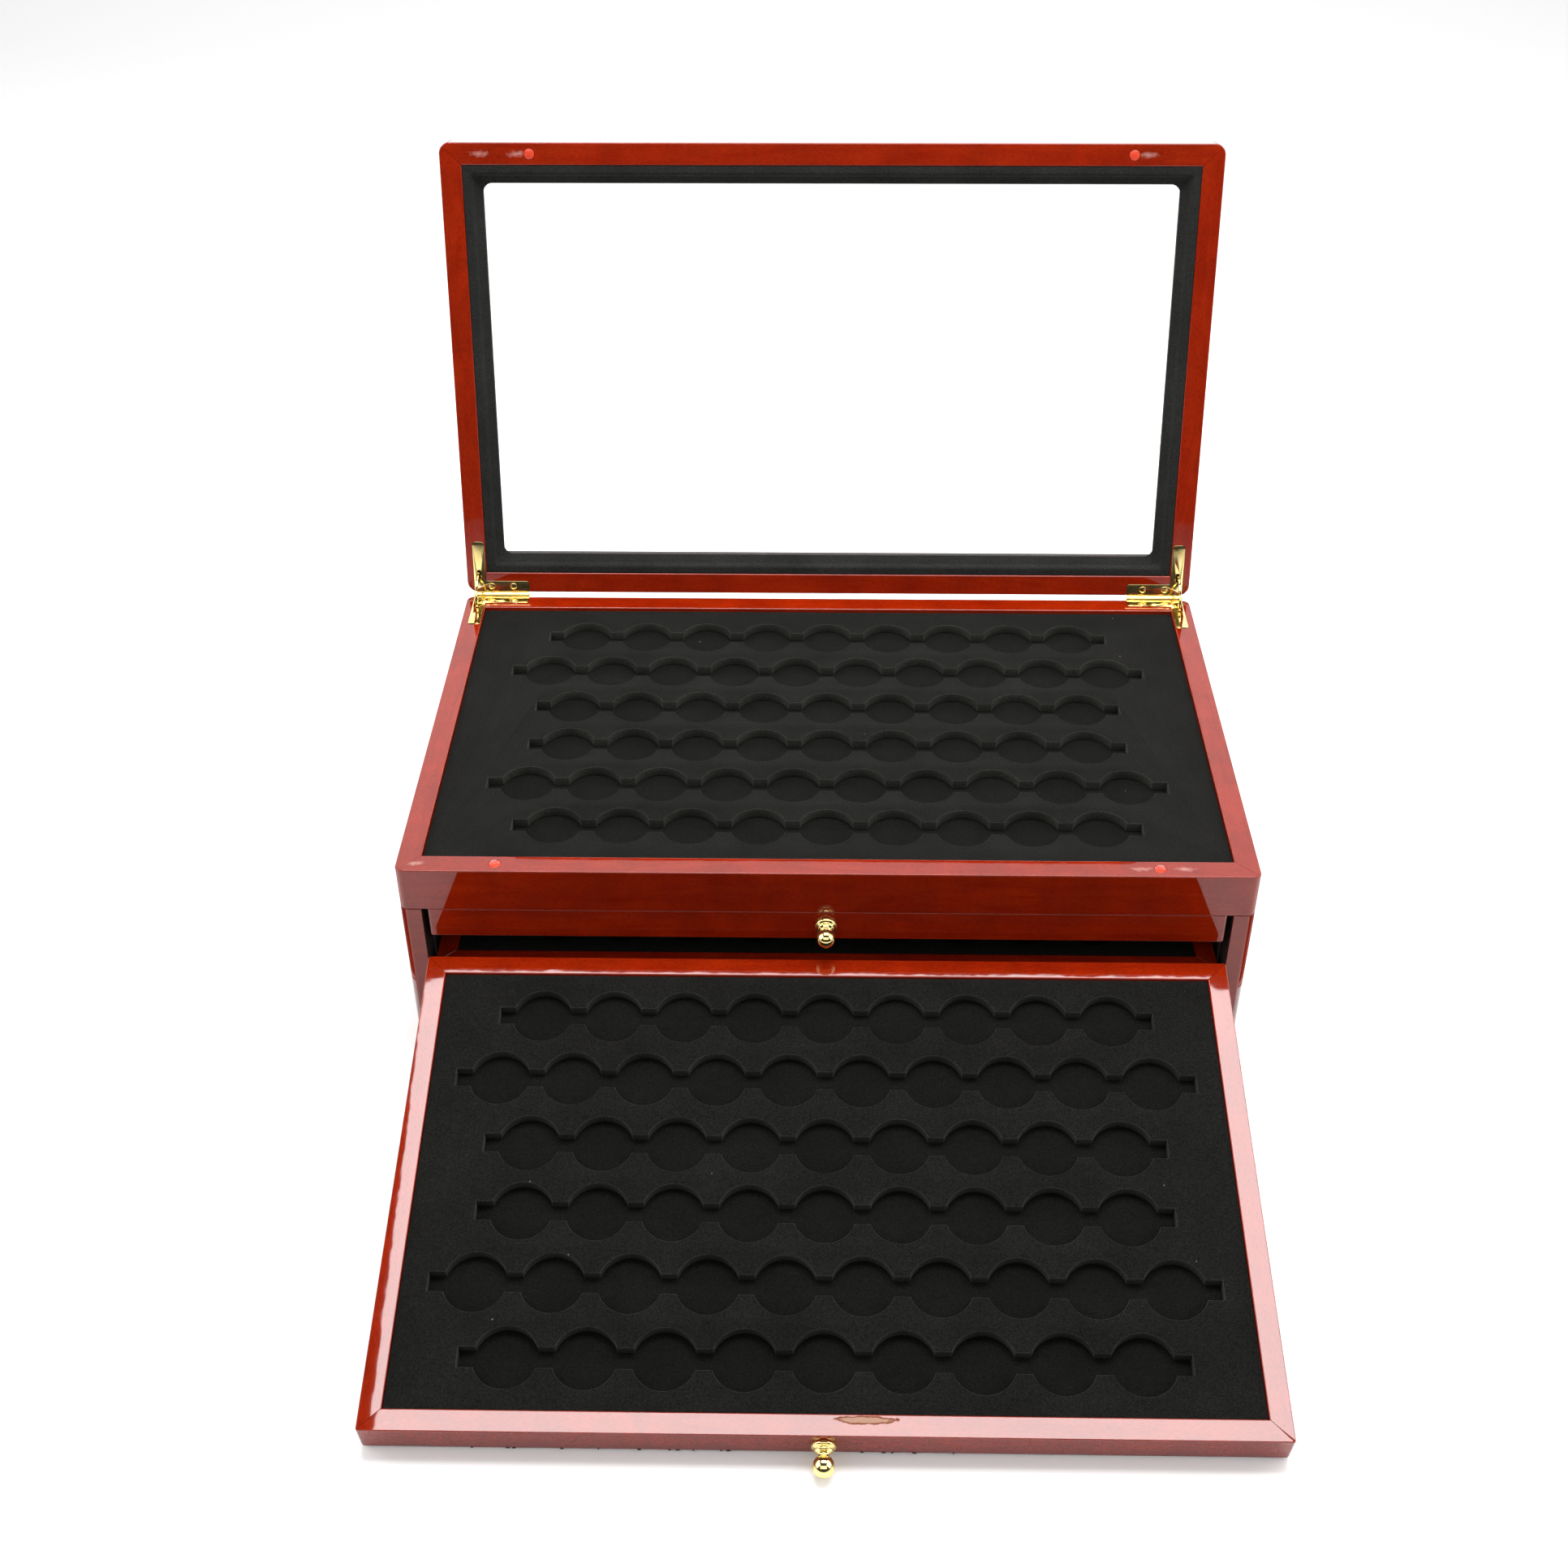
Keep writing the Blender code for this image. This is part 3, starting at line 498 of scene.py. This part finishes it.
def rail_mesh(name, length, distance, side, profile, mitres, corner=sharp_corner, centre=(0, 0)):
    """One rail of a frame, swept along its side and round half of each mitred corner.

    profile holds (inward, height) points; corner gives the corner radius at an inward distance.
    """
    outline = rounded(profile)
    tight = shrunk(outline, MITRE_CHAMFER)
    stations = []
    for sign, mitred in zip((-1, 1), mitres):
        if mitred:
            ring = [(sign, outline, i / ROUND_STEPS, MITRE_CHAMFER) for i in range(ROUND_STEPS + 1)]
            ring.append((sign, tight, 1.0, 0.0))
        else:
            ring = [(sign, outline, None, MITRE_CHAMFER), (sign, tight, None, 0.0)]
        stations += reversed(ring) if sign < 0 else ring
    bm = bmesh.new()
    uv_layer = bm.loops.layers.uv.new("grain")
    around = [0.0]
    for a, b in zip(outline, outline[1:] + outline[:1]):
        around.append(around[-1] + (b - a).length)
    shift = Vector((sum(map(ord, name)) * 0.0713 % 3.0, sum(map(ord, name)) * 0.0317 % 1.0))
    rings = []
    for sign, points, share, back_off in stations:
        ring = []
        for point in points:
            inward, height = point
            if share is None:
                x, y = length / 2 - back_off, -distance + inward
            else:
                radius = corner(inward)
                angle, mitre = share * math.pi / 4, math.pi / 4
                start = length / 2 - inward - radius
                x = start + min(radius * math.sin(angle), radius * math.sin(mitre) - back_off)
                y = -distance + inward + radius - radius * math.cos(angle)
            ring.append(bm.verts.new((sign * x, y, height)))
        rings.append(ring)
    count = len(outline)
    for first, second in zip(rings, rings[1:]):
        for i in range(count):
            j = (i + 1) % count
            face = bm.faces.new((first[i], first[j], second[j], second[i]))
            for loop, v in zip(face.loops, (around[i], around[i + 1], around[i + 1], around[i])):
                loop[uv_layer].uv = (loop.vert.co.x + shift.x, v + shift.y)
    for ring in (rings[0], rings[-1]):
        face = bm.faces.new(ring)
        for loop in face.loops:
            loop[uv_layer].uv = (loop.vert.co.y * 0.2 + shift.x, loop.vert.co.z + shift.y)
    bmesh.ops.remove_doubles(bm, verts=bm.verts, dist=1e-6)
    turn = Matrix.Translation((*centre, 0)) @ Matrix.Rotation(QUARTER[side] * math.pi / 2, 4, "Z")
    bmesh.ops.transform(bm, matrix=turn, verts=bm.verts)
    return to_mesh(name, bm)


def frame_meshes(prefix, width, depth, profile, corner=sharp_corner, centre=(0, 0)):
    """Four mitred rails, by side."""
    return {side: rail_mesh(f"{prefix}_{side}", *((width, depth / 2) if turns % 2 == 0 else
                                                  (depth, width / 2)),
                            side, profile, (True, True), corner, centre)
            for side, turns in QUARTER.items()}


def plate_mesh(name, outlines, low, high, bevel=0.0, resolution=2):
    """A flat plate from outlines, the first one its edge and the others holes."""
    curve = bpy.data.curves.new(name, "CURVE")
    curve.dimensions = "2D"
    curve.fill_mode = "BOTH"
    curve.extrude = (high - low) / 2 - bevel
    curve.bevel_depth = bevel
    curve.bevel_resolution = resolution
    curve.offset = -bevel
    for outline in outlines:
        spline = curve.splines.new("POLY")
        spline.points.add(len(outline) - 1)
        for point, (x, y) in zip(spline.points, outline):
            point.co = (x, y, 0, 1)
        spline.use_cyclic_u = True
    holder = bpy.data.objects.new(name, curve)
    bpy.context.scene.collection.objects.link(holder)
    depsgraph = bpy.context.evaluated_depsgraph_get()
    mesh = bpy.data.meshes.new_from_object(holder.evaluated_get(depsgraph))
    bpy.data.objects.remove(holder, do_unlink=True)
    bm = bmesh.new()
    bm.from_mesh(mesh)
    bmesh.ops.remove_doubles(bm, verts=bm.verts, dist=1e-6)
    bmesh.ops.translate(bm, vec=(0, 0, (low + high) / 2), verts=bm.verts)
    return to_mesh(name, bm)


# ---------------------------------------------------------------- wood pieces
def wood_piece(node, mesh, body, pose=LEVEL):
    """A lacquered piece; the three with marks have their own material."""
    material = MARKED_WOOD.get(node, WOOD)
    if mesh.materials:
        mesh.materials[0] = material
    piece = new_piece(node + "_wood", mesh, material, body, node, pose)
    weigh_normals(piece)
    return piece


def darken_inside(mesh, depth):
    """Near-black board colour instead of lacquer on the faces this far in from the case's outline
    or further: painted shade inside the carcass, and a dark inner end on the lid's lip.
    """
    mesh.materials.append(WOOD)
    mesh.materials.append(BOARD_AND_SHADE)
    for face in mesh.polygons:
        x, y, _ = face.center
        if min(CASE_W / 2 - abs(x), CASE_D / 2 - abs(y)) > depth:
            face.material_index = 1


def case_corner(inward):
    """The case's corner radius at an inward distance."""
    return max(CORNER_R - inward, 0.0)


def lid_corner(inward):
    """The lid's corner radius at an inward distance."""
    return max(LID_CORNER_R - inward, 0.0)


def board_groove(inner, low):
    """Profile corners of the groove that a thin board stands in, going up the inner face."""
    deep = inner - BOARD_TENON - GAP
    under, over = low - GAP, low + BOARD_T + GAP
    return [(inner, under, 0), (deep, under, 0), (deep, over, 0), (inner, over, 0)]


def leaf_outline(sign, grow=0.0):
    """L-shaped leaf: an arm along the back rail and one along the side rail, with round ends."""
    side, back = CASE_W / 2 - LEAF_SIDE + grow, BACK_Y + grow
    end = CASE_W / 2 - LEAF_X_END - grow
    arm = CASE_W / 2 - LEAF_SIDE - LEAF_ARM_W - grow
    low = BACK_Y - LEAF_BACK_W - grow
    tip = BACK_Y - LEAF_Y_END - grow
    corners = [(side, back, 0), (end, back, 0.0006), (end, low, 0.0016), (arm, low, 0.0008),
               (arm, tip, 0.0022), (side, tip, 0.0022)]
    return [(sign * p.x, p.y) for p in rounded(corners, 6)]


def hinge_cutters(sign, way):
    """The shallow pocket of a leaf and the mortise of the stay, in case (-1) or lid (1)."""
    face = CASE_H if way < 0 else LID_LOW
    low, high = sorted((face + way * LEAF_T, face - way * 0.002))
    pocket = plate_mesh("pocket", [leaf_outline(sign, 0.0001)], low, high)
    x = sign * (CASE_W / 2 - STAY_X)
    near = HINGE.y - (STAY_R - STAY_W / 2) * math.cos(LID_OPEN / 2 + STAY_TAIL) + 2 * GAP
    far = HINGE.y - STAY_R - STAY_W / 2 - 2 * GAP
    z_low, z_high = sorted((HINGE.z - way * 0.002, HINGE.z + way * MORTISE_DEPTH))
    half = STAY_T / 2 + GAP
    return [pocket, box_mesh((x - half, far, z_low), (x + half, near, z_high))]


def catch_cutters(way):
    """The round holes of the two catches, in case (-1) or lid (1)."""
    face = CASE_H if way < 0 else LID_LOW
    return [rod_mesh(CATCH_R + CAP_PLAY, (sign * CATCH_X, CATCH_Y, face - way * 0.001),
                     (sign * CATCH_X, CATCH_Y, face + way * (CATCH_DEPTH + GAP)))
            for sign in (-1, 1)]


def side_cutters(way):
    """Which rails the hinges and catches are let into."""
    left, right = hinge_cutters(-1, way), hinge_cutters(1, way)
    return {"left": left, "right": right, "front": catch_cutters(way),
            "back": [tool.copy() for tool in left + right]}


def build_case():
    """Upper frame, carcass and plinth."""
    profile = [(0, UPPER_BOTTOM, 0.0004), (RIM, UPPER_BOTTOM, 0),
               *board_groove(RIM, TOP_INSERT_LOW - GAP - BOARD_T), (RIM, CASE_H, 0.0006),
               (0, CASE_H, 0.0006)]
    tools = side_cutters(-1)
    for side, mesh in frame_meshes("upper_frame", CASE_W, CASE_D, profile, case_corner).items():
        wood_piece(f"upper_frame_{side}", cut(mesh, tools[side]), "case")

    top = UPPER_BOTTOM - GAP
    wall = [(0, 0, 0.0006), (WALL, 0, 0), (WALL, top, 0.0004), (0, top, 0.0004)]
    carcass = {"case_side_left": (CASE_D, CASE_W / 2, "left", (True, False)),
               "case_side_right": (CASE_D, CASE_W / 2, "right", (False, True)),
               "case_back": (CASE_W, CASE_D / 2, "back", (True, True))}
    for name, (length, distance, side, mitres) in carcass.items():
        mesh = rail_mesh(name, length, distance, side, wall, mitres, case_corner)
        if not all(mitres):
            mesh = round_front_edge(mesh, -1 if side == "left" else 1)
        # Painted shade: the carcass's inner faces take the near-black board colour.
        darken_inside(mesh, WALL - 0.0004)
        wood_piece(name, mesh, "case")
    plinth = [(0, 0, 0.0004), (WALL, 0, 0), (WALL, PLINTH_H, 0.0006), (0, PLINTH_H, 0.0008)]
    half = CASE_W - 2 * WALL - 2 * GAP
    wood_piece("case_plinth", rail_mesh("case_plinth", half, CASE_D / 2, "front", plinth,
                                        (False, False)), "case")


def round_front_edge(mesh, sign):
    """Round the upright outer edge at the case front, as the upper frame's corner is."""
    far = 0.05
    x0, y0 = sign * (CASE_W / 2 - CORNER_R), FRONT_Y + CORNER_R
    outline = [(sign * (CASE_W / 2 + far), y0), (x0 + sign * CORNER_R, y0)]
    for step in range(1, 2 * ROUND_STEPS):
        angle = math.pi / 2 * step / (2 * ROUND_STEPS)
        outline.append((x0 + sign * CORNER_R * math.cos(angle), y0 - CORNER_R * math.sin(angle)))
    outline += [(x0, FRONT_Y), (x0, FRONT_Y - far), (sign * (CASE_W / 2 + far), FRONT_Y - far)]
    return cut(mesh, [plate_mesh("edge", [outline], -far, CASE_H)])


def build_lid():
    """Lid rails with a lip, the mitred velvet moulding and the glass."""
    lip_low, top = LID_LOW + LID_T - LIP_T, LID_LOW + LID_T
    profile = [(0, LID_LOW, 0.0006), (RIM, LID_LOW, 0.0007), (RIM, lip_low, 0),
               (LIP, lip_low, 0.0010), (LIP, top, 0.0022), (0, top, 0.0030)]
    tools = side_cutters(1)
    for side, mesh in frame_meshes("lid_rail", CASE_W, CASE_D, profile, lid_corner).items():
        # The lip's inner end takes the near-black board colour.
        darken_inside(mesh, LIP - 0.0012)
        wood_piece(f"lid_rail_{side}", cut(mesh, tools[side]), "lid", LID_POSE)
    build_moulding()
    frame["nodes"]["lid_glass"].data.materials.clear()
    frame["nodes"]["lid_glass"].data.materials.append(GLASS)
    frame["nodes"]["lid_glass"].visible_shadow = False


def moulding_corner(inward):
    """The opening's corner radius grows towards the glass."""
    return MOULDING_CORNER * max(0.0, (inward - RIM) / (LIP - RIM))


def build_moulding():
    """Velvet over a wood strip with a bead and a slope, mitred at the corners."""
    face, back = LID_LOW + 0.0003, LID_LOW + MOULDING_T
    outer, inner = RIM + 0.0001, LIP + VELVET_OVERHANG
    profile = [(outer, face, 0.0006), (outer + 0.0044, face - 0.0001, 0.0018),
               (outer + 0.0060, face + 0.0026, 0.0010), (inner, back - 0.0012, 0.0006),
               (inner, back, 0.0002), (outer, back, 0)]
    for i, (side, mesh) in enumerate(frame_meshes("lid_moulding", CASE_W, CASE_D, profile,
                                                  moulding_corner).items()):
        node = "lid_moulding" if i == 0 else None
        piece = new_piece(f"lid_moulding_{side}_velvet", mesh, VELVET, "lid", node,
                          LID_POSE)
        weigh_normals(piece)


# ---------------------------------------------------------------- coin inserts
def row_outline(count, y):
    """A row's slot: round recesses joined by a straight channel, with a tab at each end."""
    join = math.asin(CHANNEL_HALF / COIN_R)
    centres = [(i - (count - 1) / 2) * COLUMN_PITCH for i in range(count)]
    end = centres[-1] + TAB
    half = [(-end, CHANNEL_HALF)]
    for x in centres:
        for step in range(ARC_STEPS + 1):
            angle = math.pi - join - (math.pi - 2 * join) * step / ARC_STEPS
            half.append((x + COIN_R * math.cos(angle), COIN_R * math.sin(angle)))
    half.append((end, CHANNEL_HALF))
    return [(a, y + b) for a, b in half + [(-a, -b) for a, b in half]]


def build_insert(node, width, depth, low, body, pose=LEVEL, centre_y=0.0):
    """A flocked sheet with its recesses, and the flocked floor that shows through them, darker as
    painted shade.
    """
    half_w, half_d = width / 2 - GAP, depth / 2 - GAP
    edge = [(half_w, half_d, 0.001), (half_w, -half_d, 0.001), (-half_w, -half_d, 0.001),
            (-half_w, half_d, 0.001)]
    edge = [(p.x, centre_y + p.y) for p in rounded(edge, 4)]
    middle = (len(COIN_ROWS) - 1) / 2
    rows = [row_outline(count, centre_y + (middle - row) * ROW_PITCH)
            for row, count in enumerate(COIN_ROWS)]
    holes = [list(reversed(row)) for row in rows]
    mesh = plate_mesh(node, [edge] + holes, low, low + INSERT_T, INSERT_EDGE, 2)
    mesh.materials.append(FLOCK)
    mesh.materials.append(LIT_EDGE_FLOCK)
    # Sloping faces, the recess walls and round edges, get the lighter flock: painted light.
    for face in mesh.polygons:
        face.material_index = 1 if abs(face.normal.z) < 0.9 else 0
    new_piece(node + "_flock", mesh, FLOCK, body, node, pose)
    # The floor under the recesses takes the darker flock: painted shade.
    floor = box_mesh((-half_w, centre_y - half_d, low - INSERT_FLOOR_T),
                     (half_w, centre_y + half_d, low))
    new_piece(node + "_floor", floor, SHADED_FLOOR_FLOCK, body, None, pose)


# ---------------------------------------------------------------- drawers
def knob_profile():
    """(radius, height) from the ball's tip to the end of the stud."""
    ball, ball_out, neck = 0.0049, 0.0098, 0.0025
    turn = math.asin(neck / ball)
    points = [(ball * math.sin(a), ball_out + ball * math.cos(a))
              for a in ((math.pi - turn) * i / 28 for i in range(29))]
    points += [(0.0024, 0.0052), (0.0025, 0.0046), (0.0031, 0.0040), (0.0038, 0.0036),
               (0.0042, 0.0032), (0.0043, 0.0028), (0.0041, 0.0025), (0.0043, 0.0022),
               (0.0049, 0.0021), (0.0053, 0.0018), (0.0056, 0.0013), (0.0056, 0.0006),
               (0.0054, 0.00005), (0.0015, 0.00005), (0.0015, -0.006), (0, -0.006)]
    points[0] = (0, points[0][1])
    return points


def build_drawer(number, centre_y, pose):
    """Rails, insert and knob of one drawer."""
    body, low = f"drawer_{number}", DRAWER_LOWS[number]
    top = low + DRAWER_H
    profile = [(0, low, 0.0006), (DRAWER_RAIL, low, 0.0004),
               *board_groove(DRAWER_RAIL, low + BOARD_RAISE), (DRAWER_RAIL, top, 0.0007),
               (0, top, 0.0004)]
    inside_w, inside_d = DRAWER_W - 2 * DRAWER_RAIL, DRAWER_D - 2 * DRAWER_RAIL
    middle = low + DRAWER_H / 2
    front_y, back_y = centre_y - DRAWER_D / 2, centre_y + DRAWER_D / 2
    runs = {}
    for side, sign in (("left", -1), ("right", 1)):
        near, far = sorted((sign * (DRAWER_W / 2 - GROOVE_DEPTH), sign * (DRAWER_W / 2 + 0.001)))
        runs[side] = box_mesh((near, front_y + GROOVE_STOP, middle - GROOVE_H / 2),
                              (far, back_y + 0.001, middle + GROOVE_H / 2))
    stud = rod_mesh(STUD_BORE_R, (0, front_y - 0.001, middle),
                    (0, front_y + STUD_BORE_DEPTH, middle))
    tools = {"front": [stud], "back": [runs["left"].copy(), runs["right"].copy()],
             "left": [runs["left"]], "right": [runs["right"]]}
    for side, mesh in frame_meshes(body, DRAWER_W, DRAWER_D, profile, drawer_corner,
                                   (0, centre_y)).items():
        wood_piece(f"{body}_{side}", cut(mesh, tools[side]), body, pose)
    insert_low = low + BOARD_RAISE + BOARD_T + GAP
    build_insert(f"{body}_insert", inside_w, inside_d, insert_low, body, pose, centre_y)
    knob = turned_mesh("knob", knob_profile(), (0, front_y, middle), (0, -1, 0), 56, 50)
    new_piece(f"{body}_knob_brass", knob, BRASS, body, f"{body}_knob", pose)


def build_chips():
    """Dark chips in the lacquer along the lower front edge of the leaning drawer."""
    dice = random.Random(11)
    bm = bmesh.new()
    for _ in range(CHIP_COUNT):
        spot = Vector((dice.uniform(-0.165, 0.06), OUT_Y - DRAWER_D / 2,
                       DRAWER_LOWS[2] + dice.uniform(0.0001, 0.0004)))
        size = (dice.uniform(0.0006, 0.0022), dice.uniform(0.0006, 0.0009),
                dice.uniform(0.0006, 0.0011))
        chip = bmesh.ops.create_icosphere(bm, subdivisions=2, radius=0.5,
                                          matrix=Matrix.LocRotScale(spot, None, size))
        for vert in chip["verts"]:
            vert.co += Vector([dice.uniform(-0.00006, 0.00006) for _ in range(3)])
    new_piece("drawer_2_front_chips", to_mesh("chips", bm), BOARD_AND_SHADE, "drawer_2", None,
              LEAN_POSE)


def drawer_corner(inward):
    """The drawers' corner radius at an inward distance."""
    return max(DRAWER_CORNER_R - inward, 0.0)


# ---------------------------------------------------------------- brass
def build_leaf(label, sign, way, body, pose):
    """A leaf with its knuckles and two screws."""
    where = "case" if way < 0 else "lid"
    face = CASE_H + 0.0001 if way < 0 else LID_LOW - 0.0001
    low, high = sorted((face, face + way * LEAF_T))
    x = sign * (CASE_W / 2 - STAY_X)
    slot = [(x - SLOT_HALF, HINGE.y - SLOT_FAR), (x + SLOT_HALF, HINGE.y - SLOT_FAR),
            (x + SLOT_HALF, HINGE.y - SLOT_NEAR), (x - SLOT_HALF, HINGE.y - SLOT_NEAR)]
    plate = plate_mesh("leaf", [leaf_outline(sign), slot[::-1]], low, high, 0.00018, 1)
    third = (LEAF_X_END - LEAF_SIDE) / 3
    marks = [LEAF_SIDE + third * i for i in range(4)]
    spans = [(0, 1), (2, 3)] if way < 0 else [(1, 2)]
    solids = []
    for first, second in spans:
        near, far = sorted(sign * (CASE_W / 2 - marks[i]) for i in (first, second))
        solids.append(rod_mesh(KNUCKLE_R, (near + 0.0001, HINGE.y, HINGE.z),
                               (far - 0.0001, HINGE.y, HINGE.z), 28))
        solids.append(box_mesh((near + 0.0001, BACK_Y - 0.002, low + 0.0001),
                               (far - 0.0001, HINGE.y - 0.0005, high - 0.0001)))
    mesh = cut(plate, solids, "UNION")
    bore = rod_mesh(BORE_R, (sign * 0.17, HINGE.y, HINGE.z), (sign * 0.23, HINGE.y, HINGE.z), 24)
    spots = [Vector((sign * (CASE_W / 2 - mark), BACK_Y - SCREW_INSET, face))
             for mark in SCREW_MARKS]
    up = Vector((0, 0, -way))
    sinks = [rod_mesh(SINK_R, spot + 0.001 * up, spot - SINK_DEPTH * up) for spot in spots]
    mesh = cut(mesh, [bore] + sinks)
    smooth(mesh, 40)
    new_piece(f"hinge_{where}_leaf_{label}_brass", mesh, BRASS, body,
              f"hinge_{where}_leaf_{label}", pose)
    for i, spot in enumerate(spots):
        screw = screw_mesh(spot, up, 0.4 + 1.1 * i + sign)
        new_piece(f"hinge_{where}_screw_{label}_{i + 1}", screw, BRASS, body, None, pose)


def screw_mesh(spot, direction, turn):
    """A countersunk screw with a cross recess and a short shank."""
    head = SCREW_HEAD_R
    dome = [(head * math.sin(a), -0.0005 + 0.00045 * math.cos(a))
            for a in (math.pi / 2 * i / 8 for i in range(9))]
    dome[0] = (0, dome[0][1])
    profile = dome + [(head, -0.0007), (0.0011, -0.0014), (0.0010, -0.0070), (0, -0.0085)]
    mesh = turned_mesh("screw", profile, (0, 0, 0), (0, 0, 1), 32)
    bars = []
    for quarter in (0, math.pi / 2):
        bar = box_mesh((-0.0011, -0.00022, -0.0004), (0.0011, 0.00022, 0.002))
        bar.transform(Matrix.Rotation(turn + quarter, 4, "Z"))
        bars.append(bar)
    mesh = cut(mesh, bars)
    smooth(mesh, 35)
    aim = Vector(direction).to_track_quat("Z", "Y").to_matrix().to_4x4()
    mesh.transform(Matrix.Translation(spot) @ aim)
    return mesh


def build_stay(label, sign):
    """The thin quadrant that shows between the open leaves."""
    inner, outer = STAY_R - STAY_W / 2, STAY_R + STAY_W / 2
    span, steps = LID_OPEN + 2 * STAY_TAIL, 48
    angles = [-STAY_TAIL + span * i / steps for i in range(steps + 1)]
    arc = [(outer * math.cos(a), outer * math.sin(a)) for a in angles]
    arc += [(inner * math.cos(a), inner * math.sin(a)) for a in reversed(angles)]
    mesh = plate_mesh("stay", [arc], -STAY_T / 2, STAY_T / 2, 0.00015, 2)
    # the plate's X becomes -Y and its Y becomes +Z
    stand = Matrix(((0, 0, -1, 0), (-1, 0, 0, 0), (0, 1, 0, 0), (0, 0, 0, 1)))
    mesh.transform(Matrix.Translation((sign * (CASE_W / 2 - STAY_X), HINGE.y, HINGE.z)) @ stand)
    new_piece(f"hinge_stay_{label}_brass", mesh, BRASS, f"stay_{label}", f"hinge_stay_{label}")


def build_pin(label, sign):
    """The hinge pin, with a small head at its outer end."""
    start = CASE_W / 2 - LEAF_SIDE + 0.0002
    length = LEAF_X_END - LEAF_SIDE + 0.0004
    profile = [(0, 0), (0.0007, 0.00002), (0.0012, 0.0002), (0.0013, 0.0004), (0.0009, 0.0006),
               (PIN_R, 0.0008), (PIN_R, length - 0.0003), (0.0005, length), (0, length)]
    mesh = turned_mesh("pin", profile, (sign * (start + 0.0004), HINGE.y, HINGE.z), (-sign, 0, 0),
                       24)
    new_piece(f"hinge_pin_{label}_brass", mesh, BRASS, "case", f"hinge_pin_{label}")


def build_hinges():
    """Both quadrant hinges."""
    for label, sign in (("left", -1), ("right", 1)):
        build_leaf(label, sign, -1, "case", LEVEL)
        build_leaf(label, sign, 1, "lid", LID_POSE)
        build_stay(label, sign)
        build_pin(label, sign)


def build_catches():
    """Round caps, a little below the wood's face."""
    profile = [(0, 0), (0.0024, -0.00002), (0.0028, -0.00012), (CATCH_R - 0.00005, -0.0004),
               (CATCH_R - 0.00005, -CATCH_DEPTH), (0, -CATCH_DEPTH)]
    for label, sign in (("left", -1), ("right", 1)):
        for where, face, way, pose in (("case", CASE_H, 1, LEVEL), ("lid", LID_LOW, -1, LID_POSE)):
            spot = (sign * CATCH_X, CATCH_Y, face)
            mesh = turned_mesh("cap", profile, spot, (0, 0, way), 40)
            new_piece(f"catch_{where}_{label}_cap", mesh, CAP, where, f"catch_{where}_{label}",
                      pose)


# ---------------------------------------------------------------- studio
def area_light(name, place, target, size, radiance):
    """A rectangular soft light; its power follows from the brightness of its face."""
    data = bpy.data.lights.new(name, "AREA")
    data.shape = "RECTANGLE"
    data.size, data.size_y = size
    data.energy = radiance * math.pi * size[0] * size[1]
    light = bpy.data.objects.new(name, data)
    light.location = place
    light.rotation_euler = (Vector(target) - Vector(place)).to_track_quat("-Z", "Y").to_euler()
    bpy.context.scene.collection.objects.link(light)
    return light


def build_studio():
    """A pale floor, a soft light overhead and pale panels round it.

    The world lights little, so that the lacquer keeps its deep colour, but looks pale itself.
    """
    bm = bmesh.new()
    bmesh.ops.create_grid(bm, x_segments=2, y_segments=2, size=4.0)
    floor = bpy.data.objects.new("floor", bpy.data.meshes.new("floor"))
    bm.to_mesh(floor.data)
    bm.free()
    floor.data.materials.append(pale_floor())
    bpy.context.scene.collection.objects.link(floor)
    floor.location = (0, 1.5, -0.0004)

    world = bpy.data.worlds.new("studio")
    world.use_nodes = True
    tree = world.node_tree
    rays = add_node(tree, "ShaderNodeLightPath")
    seen = math_node(tree, "MAXIMUM", rays.outputs["Is Camera Ray"],
                     rays.outputs["Is Transmission Ray"])
    strength = math_node(tree, "MULTIPLY_ADD", seen, WORLD_LOOK, WORLD_LIGHT)
    tree.links.new(strength, tree.nodes["Background"].inputs["Strength"])
    tree.nodes["Background"].inputs["Color"].default_value = (1, 1, 1, 1)
    bpy.context.scene.world = world
    area_light("top_softbox", (0.096, 0.03, 1.30), (0.096, 0.03, 0), (1.118, 0.54), 12.6)
    area_light("front_fill", (0, -1.55, 1.30), (0, -0.3, 0.05), (2.2, 0.9), 1.9)
    area_light("back_panel", (0, 2.2, 1.08), (0, 0, 1.08), (3.8, 2.05), 1.7)
    area_light("left_panel", (-1.5, -0.1, 0.95), (0, 0, 0.05), (2.0, 1.5), 3.0)
    area_light("right_panel", (1.5, -0.1, 0.95), (0, 0, 0.05), (2.0, 1.5), 3.0)


def build_camera():
    """The photograph's viewpoint, in front of the case and above it."""
    data = bpy.data.cameras.new("camera")
    data.sensor_width = 36.0
    data.lens = 46.28
    camera = bpy.data.objects.new("camera", data)
    place = Vector((-0.0042, -0.8985, 0.7576))
    target = Vector((-0.0233, -0.0128, 0.0900))
    roll = math.radians(-0.32)
    aim = (target - place).to_track_quat("-Z", "Y").to_matrix().to_4x4()
    camera.matrix_world = Matrix.Translation(place) @ aim @ Matrix.Rotation(roll, 4, "Z")
    bpy.context.scene.collection.objects.link(camera)
    bpy.context.scene.camera = camera


def paint_boards():
    """Carried-over CAD nodes that are plain boards; on the runners inside the case their near-black
    colour is painted shade.
    """
    names = ["case_base", "top_deck", "runner_left", "runner_right"]
    names += [f"drawer_{number}_board" for number in DRAWER_LOWS]
    for name in names:
        frame["nodes"][name].data.materials.clear()
        frame["nodes"][name].data.materials.append(BOARD_AND_SHADE)


bpy.context.scene.view_settings.view_transform = "Standard"
build_camera()
build_studio()
build_case()
build_lid()
build_insert("top_insert", CASE_W - 2 * RIM, CASE_D - 2 * RIM, TOP_INSERT_LOW, "case")
for drawer in DRAWER_LOWS:
    build_drawer(drawer, OUT_Y if drawer == 2 else SHUT_Y, LEAN_POSE if drawer == 2 else LEVEL)
build_chips()
build_hinges()
build_catches()
paint_boards()
